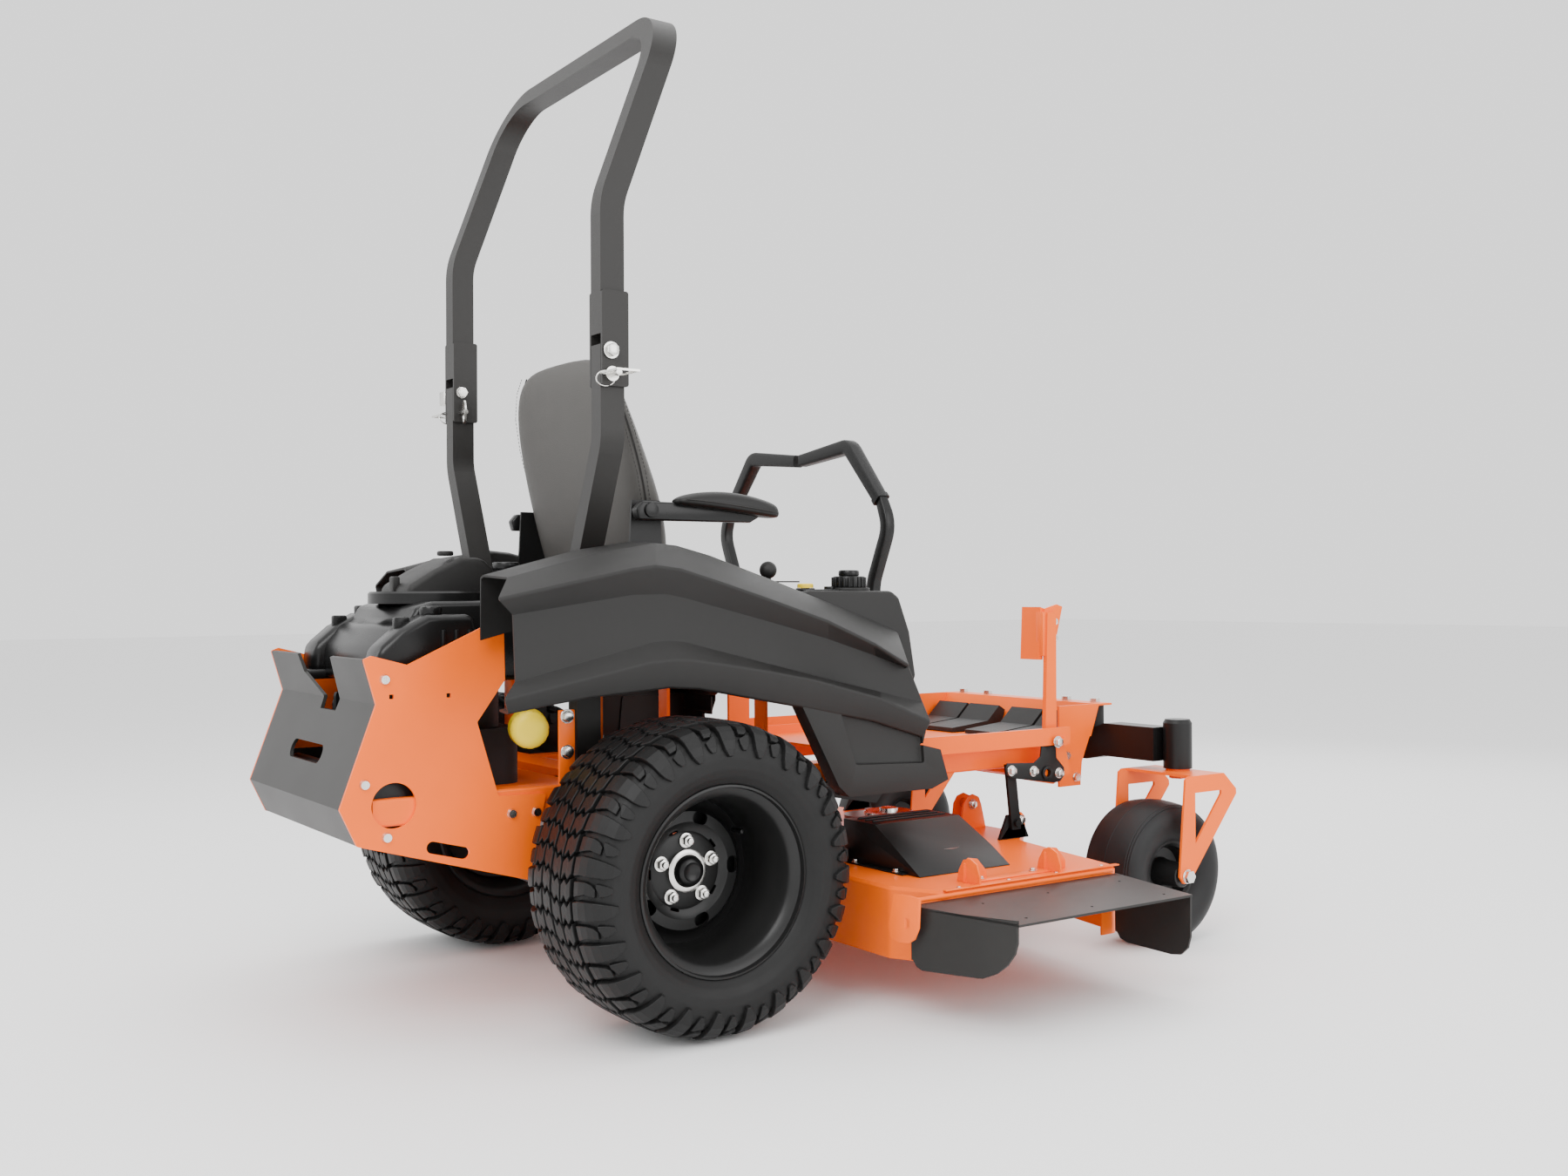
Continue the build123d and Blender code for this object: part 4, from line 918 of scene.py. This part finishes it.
def makeEngineCover():
    body = sideSlab("cover", -170, 340, engine["cover"], 0.012, 4)
    pieces = [body]
    for hand, sign in hands:  # faceted cover of each cylinder, with its lower lip
        outline = ((-520, 662), (-514, 716), (-470, 754), (-420, 780), (-330, 780), (-300, 660))
        lobe = sideSlab("lobe", sign * 150, sign * 78, outline, 0.014, 3)
        lip = sideSlab("lip", sign * 140, sign * 96, ((-528, 648), (-532, 668), (-300, 672), (-296, 650)),
                       0.006, 3)
        cap = pin("oilCap", (-400, sign * 186, 786), 21, 20, "Z", 24, 0.004)
        clip = bar("clip", (-470, sign * 180 - 7, 742), (-440, sign * 180 + 7, 776), 0.004)
        pieces += [lobe, lip, cap, clip]
        for k in range(engine["ribs"]):
            x = -396 + k * 26
            pieces.append(bar("rib", (x, sign * 224, 690), (x + 9, sign * 233, 752), 0.003))
    shroud = spun("shroud", [at(engine["x"], 0, z) + Vector((r / 1000, 0, 0)) for z, r in engine["shroud"]],
                  at(engine["x"], 0, 0), (0, 0, 1), 72)
    for k in range(engine["spokes"]):
        angle = 2 * math.pi * k / engine["spokes"]
        blade = addCube("spoke", at(engine["x"] + 42, -1.6, 811), at(engine["x"] + 92, 1.6, 817))
        blade.data.transform(turnAbout(at(engine["x"], 0, 0), angle, "Z"))
        pieces.append(blade)
    neck = pin("fillerNeck", (-210, -100, 838), 17, 62)
    cap = pin("fillerCap", (-210, -100, 874), 27, 15, "Z", 20, 0.003)
    skirt = pin("fillerSkirt", (-210, -100, 812), 30, 14, "Z", 40, 0.004)
    whole = joined("engineCover", pieces + [smooth(shroud, 35), neck, cap, skirt])
    return smooth(whole, 32)


finished(makeEngineCover(), shinyPlastic, "chassis", ["blower_housing"])
airBox = sideSlab("airBox", 74, 172, engine["airBox"], 0.012, 4)
band = sideSlab("band", 68, 184, ((-356, 800), (-354, 822), (-150, 822), (-148, 800)), 0.004, 3)
knob = pin("knob", (-250, 120, 904), 17, 10, "Z", 32, 0.003)
latch = bar("latch", (-352, 150, 820), (-336, 176, 856), 0.004)
finished(smooth(joined("airBoxCover", [airBox, band, knob, latch]), 32), plastic, "chassis", ["air_cleaner"])
oilFilter = {"x": -234, "z": 560, "flutes": 14, "fluteRadius": 37.4, "turn": -20,
             "profile": ((-291, 0), (-292, 12), (-291, 24), (-286, 32), (-279, 36), (-236, 36), (-232, 38),
                         (-229, 38), (-228, 30), (-160, 28), (-152, 28), (-152, 0))}
canMiddle = at(oilFilter["x"], 0, oilFilter["z"])
can = spun("filterCan", [canMiddle + Vector((0, y / 1000, r / 1000)) for y, r in oilFilter["profile"]],
           canMiddle, (0, 1, 0), 64)
flutes = []
for k in range(oilFilter["flutes"]):
    angle = 2 * math.pi * k / oilFilter["flutes"]
    x = oilFilter["x"] + oilFilter["fluteRadius"] * math.cos(angle)
    z = oilFilter["z"] + oilFilter["fluteRadius"] * math.sin(angle)
    flutes.append(addRound("flute", at(x, -282, z), .0035, .016, "Y", 12))
carved(can, joined("flutes", flutes))
canEnd = at(oilFilter["x"], -260, oilFilter["z"])
can.data.transform(turnAbout(canEnd, math.radians(oilFilter["turn"]), "Z"))
finished(smooth(can, 35), filterPaint, "chassis", ["oil_filter"])
print("engine covers made")

# discharge chute: top, rear and front wall, with cut corners and small holes
chute = {"rear": ((338, -706), (424, -905), (429, -905), (343, -706)), "holesX": (470, 640, 840),
         "holesY": (-760, -880)}


def makeChute():
    top = crossSlab("top", 338, 550, ((-705, 226), (-911, 213.5), (-912, 209), (-705, 221)), 0)
    rear = slab("rear", [at(x, y, 106) for x, y in chute["rear"]], Vector((0, 0, 0.114)))
    front = crossSlab("front", 883, 5, ((-705, 224), (-910, 212), (-909, 130), (-902, 106), (-884, 90),
                                        (-860, 86), (-740, 88), (-720, 94), (-708, 110)), 0)
    # the rear wall's lower outside corner is round
    corner = crossSlab("corner", 330, 130, ((-930, 178), (-905, 178), (-900, 158), (-886, 136), (-866, 118),
                                            (-842, 107), (-816, 104), (-816, 90), (-930, 90)), 0)
    carved(rear, corner)
    inside = crossSlab("corner", 330, 60, ((-700, 124), (-709, 124), (-716, 112), (-728, 105.6), (-728, 98),
                                           (-700, 98)), 0)
    carved(rear, inside)
    wedge = slab("wedge", [at(x, y, 200) for x, y in ((330, -700), (335.4, -700), (338, -706), (424, -905),
                                                      (424, -925), (330, -925))], Vector((0, 0, 0.04)))
    carved(top, wedge)
    holes = [addRound("hole", at(x, y, 218), .0032, .05, "Z", 16) for x in chute["holesX"]
             for y in chute["holesY"]]
    carved(top, joined("holes", holes))
    rod = pin("chuteHingeRod", (612, -699, 232), 5, 540, "X", 20)
    return joined("dischargeChute", [top, rear, front]), rod


chutePart, hingeRod = makeChute()
finished(chutePart, darkPaint, "chute", ["discharge_chute"])

# deck: hinge brackets, roller ears, tab with a slot, belt covers and pulley
deckTop = 240.4  # just above the deck's top plate
deckBits = []
for x in (520, 738):
    deckBits.append(crossSlab("ear", x, 5, ((-694, 240), (-694, 256), (-684, 280), (-664, 289), (-644, 284),
                                            (-630, 262), (-624, 240)), 0.0012))
    deckBits.append(sideSlab("wing", -652, 4, ((x - 4, 240), (x - 4, 276), (x + 8, 288), (x + 32, 284),
                                               (x + 56, 258), (x + 56, 240)), 0.0012))
deckBits.append(bar("seatStrip", (524, -668, deckTop), (738, -636, deckTop + 3), 0.001))
deckBits.append(bar("edgeFold", (428, -702, 240.2), (902, -690, 243), 0.001))
tab = slab("tab", [at(x, y, z) for x, y, z in ((336, -724, 250), (324, -694, 250), (320, -684, 190),
                                               (321, -688, 168), (327, -700, 160), (336, -722, 160),
                                               (341, -733, 168), (344, -742, 190), (345, -745, 246))],
           Vector((-0.0045, 0.002, 0)))
slot = slab("tabSlot", [at(x, y, z) for x, y, z in ((334, -716, 186), (338, -726, 190), (338, -726, 204),
                                                    (334, -716, 208))], Vector((-0.012, 0.005, 0)))
slot.data.transform(Matrix.Translation(Vector((0.004, -0.0018, 0))))
carved(bevelled(tab, 0.001, 2), slot)
tab.data.transform(Matrix.Translation(Vector((-0.013, 0, 0))))  # clear of the chute's wall as it swings
deckBits.append(tab)
for shift in (0, 34):  # roller ears near the middle of the deck
    deckBits.append(sideSlab("rollerEar", -136 + shift, 6, ((950, 240), (958, 300), (970, 318), (990, 324),
                                                            (1008, 316), (1016, 298), (1030, 240)), 0.0015))
for sign in (1, -1):
    deckBits.append(sideSlab("hangerEar", sign * 300 - (8 if sign < 0 else 0), 8, (
        (920, 240), (975, 298), (990, 300), (1000, 290), (1004, 240)), 0.002))
whole = smooth(joined("deckBrackets", deckBits), 30)
finished(whole, orange, "deck")
silver = [pin("roller", (986, -117, 300), 12, 30, "Y", 32)]
for x, y in ((523, -668), (741, -668)):
    silver += hexHead((x + 5, y + 2, 266), "X", 1, .008, .006)
for x in (560, 700):
    silver += hexHead((x, -652, deckTop + 3), "Z", 1, .006, .004)
for x in (470, 600, 730, 860):
    silver += hexHead((x, -690, deckTop), "Z", 1, .0045, .002)
silver += hexHead((986, -137, 300), "Y", -1, .010, .006)
for sign in (1, -1):
    silver += hexHead((988, sign * 308, 282), "Y", sign, .009, .006)
finished(smooth(joined("deckBolts", silver), 35), zinc, "deck")
finished(smooth(hingeRod, 35), orange, "deck")

cover = {"profile": ((-300, deckTop), (-300, 330), (-411, 330), (-560, 242), (-560, deckTop)), "rear": 478,
         "front": 722}


def makeBeltCover(name, sign):
    shell = crossSlab("shell", cover["rear"], cover["front"] - cover["rear"],
                      [(sign * -y, z) for y, z in cover["profile"]], 0.003, 2)
    hollow = crossSlab("hollow", cover["rear"] + 6, 300, [(sign * -y, z) for y, z in (
        (-290, 230), (-290, 326), (-409, 326), (-552, 236), (-552, 230))], 0)
    carved(shell, hollow)
    slope = slab("slope", [at(cover["front"] + 30, sign * 260, 350),
                           at(cover["front"] - 18, sign * 260, 350),
                           at(cover["front"] + 10, sign * 260, 230),
                           at(cover["front"] + 30, sign * 260, 230)], Vector((0, sign * 0.330, 0)))
    carved(shell, slope)
    ribs = [sideSlab("rib", sign * (330 + 26 * k), 4, ((cover["rear"] + 16, 330), (cover["rear"] + 20, 333),
                                                       (cover["front"] - 30, 333),
                                                       (cover["front"] - 24, 330)), 0.001) for k in range(3)]
    flange = bar("flange", (cover["rear"] - 14, sign * 320, 240.3),
                 (cover["rear"] + 4, sign * 520, deckTop + 3), 0.001)
    return smooth(joined(name, [shell, flange] + ribs), 30)


for hand, sign in hands:
    finished(makeBeltCover(hand + "BeltCover", sign), blackPaint, "deck", ["belt_covers"] if sign > 0 else [])
coverBolts = []
for hand, sign in hands:
    for y in (350, 490):
        coverBolts += hexHead((cover["rear"] - 6, sign * y, deckTop + 3), "Z", 1, .007, .005)
finished(smooth(joined("coverBolts", coverBolts), 35), zinc, "deck")
pulley = spun("pulleyRim", [at(640, -250, z) + Vector((r / 1000, 0, 0)) for z,
                            r in ((318, 20), (318, 52), (320, 56), (326, 56), (328, 52), (321, 46),
                                  (321, 22), (334, 20), (336, 14), (336, 0))], at(640, -250, 0), (0, 0, 1),
              64)
finished(smooth(pulley, 35), zinc, "deck")
post = pin("pulleyPost", (640, -250, 279), 14, 78)
finished(smooth(post, 35), blackPaint, "deck")
print("deck fittings made")

# lift linkage: a plate on each crank with its bolts, the link bolts, and the pedal pad's bracket and bolts
crank = ((910, 410), (916, 422), (1000, 417), (1020, 430), (1026, 470), (1040, 484), (1058, 484), (1068, 470),
         (1072, 424), (1082, 414), (1096, 400), (1098, 382), (1084, 368), (1064, 366), (930, 386), (914, 396))
for hand, sign in hands:
    plate = sideSlab("crankPlate", sign * 337, sign * 4, crank, 0.0012)
    carved(plate, addRound("hole", at(1039, sign * 339, 391), .010, .03, "Y", 28))
    collar = addRound("collar", at(1039, sign * 341, 391), .016, .010, "Y", 32)
    carved(collar, addRound("hole", at(1039, sign * 341, 391), .009, .03, "Y", 28))
    finished(smooth(joined(hand + "CrankPlate", [plate, bevelled(collar, .001, 2)]), 30), blackPaint,
             "lift_pedal")
    bolts = []
    for x, z in ((928, 404), (997, 398), (1078, 388)):
        bolts += hexHead((x, sign * 341, z), "Y", sign, .010, .008)
    finished(smooth(joined(hand + "CrankBolts", bolts), 35), zinc, "lift_pedal")
    finished(smooth(joined(hand + "LinkBolt", hexHead((1056, sign * 361, 464), "Y", sign, .011, .008)), 35),
             zinc, "lift_link_body")
padBracket = bar("padBracket", (1048, -322, 664), (1082, -298, 768), 0.0015)
finished(smooth(padBracket, 30), orange, "lift_pedal")
pedal = []
for z in (705, 745):
    pedal += hexHead((1090, -316, z), "Y", -1, .0085, .006)
finished(smooth(joined("pedalBolts", pedal), 35), zinc, "lift_pedal")
print("linkage made")

# roll bar: lock pin bails and latch box
trim = []
for hand, sign in hands:
    bail = [at(-124, sign * (392 + 4 * math.sin(t)), 1222)
            + Vector((0.020 * math.cos(t) - .012, 0, 0.014 * math.sin(t)))
            for t in [2 * math.pi * k / 16 for k in range(16)]]
    trim.append(tubeAlong(hand + "Bail", bail, 0.0014, True))
finished(smooth(joined("lockPinBails", trim), 60), zinc, "rops_hoop_assembly")
boxBlock = bar("latchBox", (-140, 398, 1254), (-96, 432, 1286), 0.002)
boxArm = bar("latchArm", (-126, 384, 1262), (-110, 400, 1276), 0.001)
finished(smooth(joined("latchBox", [boxBlock, boxArm]), 35), zinc, "rops_hoop_assembly")
print("roll bar trim made")

# smaller pieces: inner shields, frame uprights and bolts, roll bar pivot bolts, console trim and fuel caps
for hand, sign in hands:
    outline = ((-566, 396), (-566, 470), (-520, 500), (-450, 500), (-440, 396))
    shield = sideSlab(hand + "InnerShield", sign * 262, sign * 3, outline, 0.001)
    finished(smooth(shield, 30), blackPaint, "chassis")
uprights = []
for hand, sign in hands:
    uprights.append(sideSlab("upright", sign * 296, sign * 8, ((-192, 452), (-192, 596), (-159, 596),
                                                               (-159, 452)), 0.002))
finished(smooth(joined("frameUprights", uprights), 30), orange, "chassis")
bolts = []
for hand, sign in hands:
    for x, z in ((-176, 584), (-176, 516)):
        bolts += hexHead((x, sign * 304, z), "Y", sign, .011, .007)
    bolts += hexHead((-124, sign * 392, 1276), "Y", sign, .013, .009)
finished(smooth(joined("frameBolts", bolts), 35), zinc, "chassis")
trim = [bar("tray", (300, -408, 821), (392, -332, 824), 0.001), pin("switchRing", (350, -345, 824), 20, 5,
                                                                    "Z", 32), pin("keySwitch",
                                                                                  (392, -372, 826), 11, 8,
                                                                                  "Z", 24)]
finished(smooth(joined("consoleTrim", trim), 30), shinyPlastic, "chassis")
fuelCap = {"x": 443, "y": 372, "z": 838, "radius": 34, "flutes": 20}
for hand, sign in hands:
    x, y, z, radius = fuelCap["x"], sign * fuelCap["y"], fuelCap["z"], fuelCap["radius"]
    cap = [pin("fuelCap", (x, y, z), radius, 26, "Z", 48, 0.003),
           pin("capTop", (x, y, 857), 22, 14, "Z", 32, 0.004)]
    for k in range(fuelCap["flutes"]):
        angle = 2 * math.pi * k / fuelCap["flutes"]
        place = (x + radius * math.cos(angle), y + radius * math.sin(angle), z)
        cap.append(pin("flute", place, 3.2, 22, "Z", 10, 0.0008))
    finished(smooth(joined(hand + "FuelCap", cap), 35), shinyPlastic, "chassis", ["fuel_caps"]
             if sign > 0 else [])
print("small fittings made")

# end of the scene build
print("scene ready")
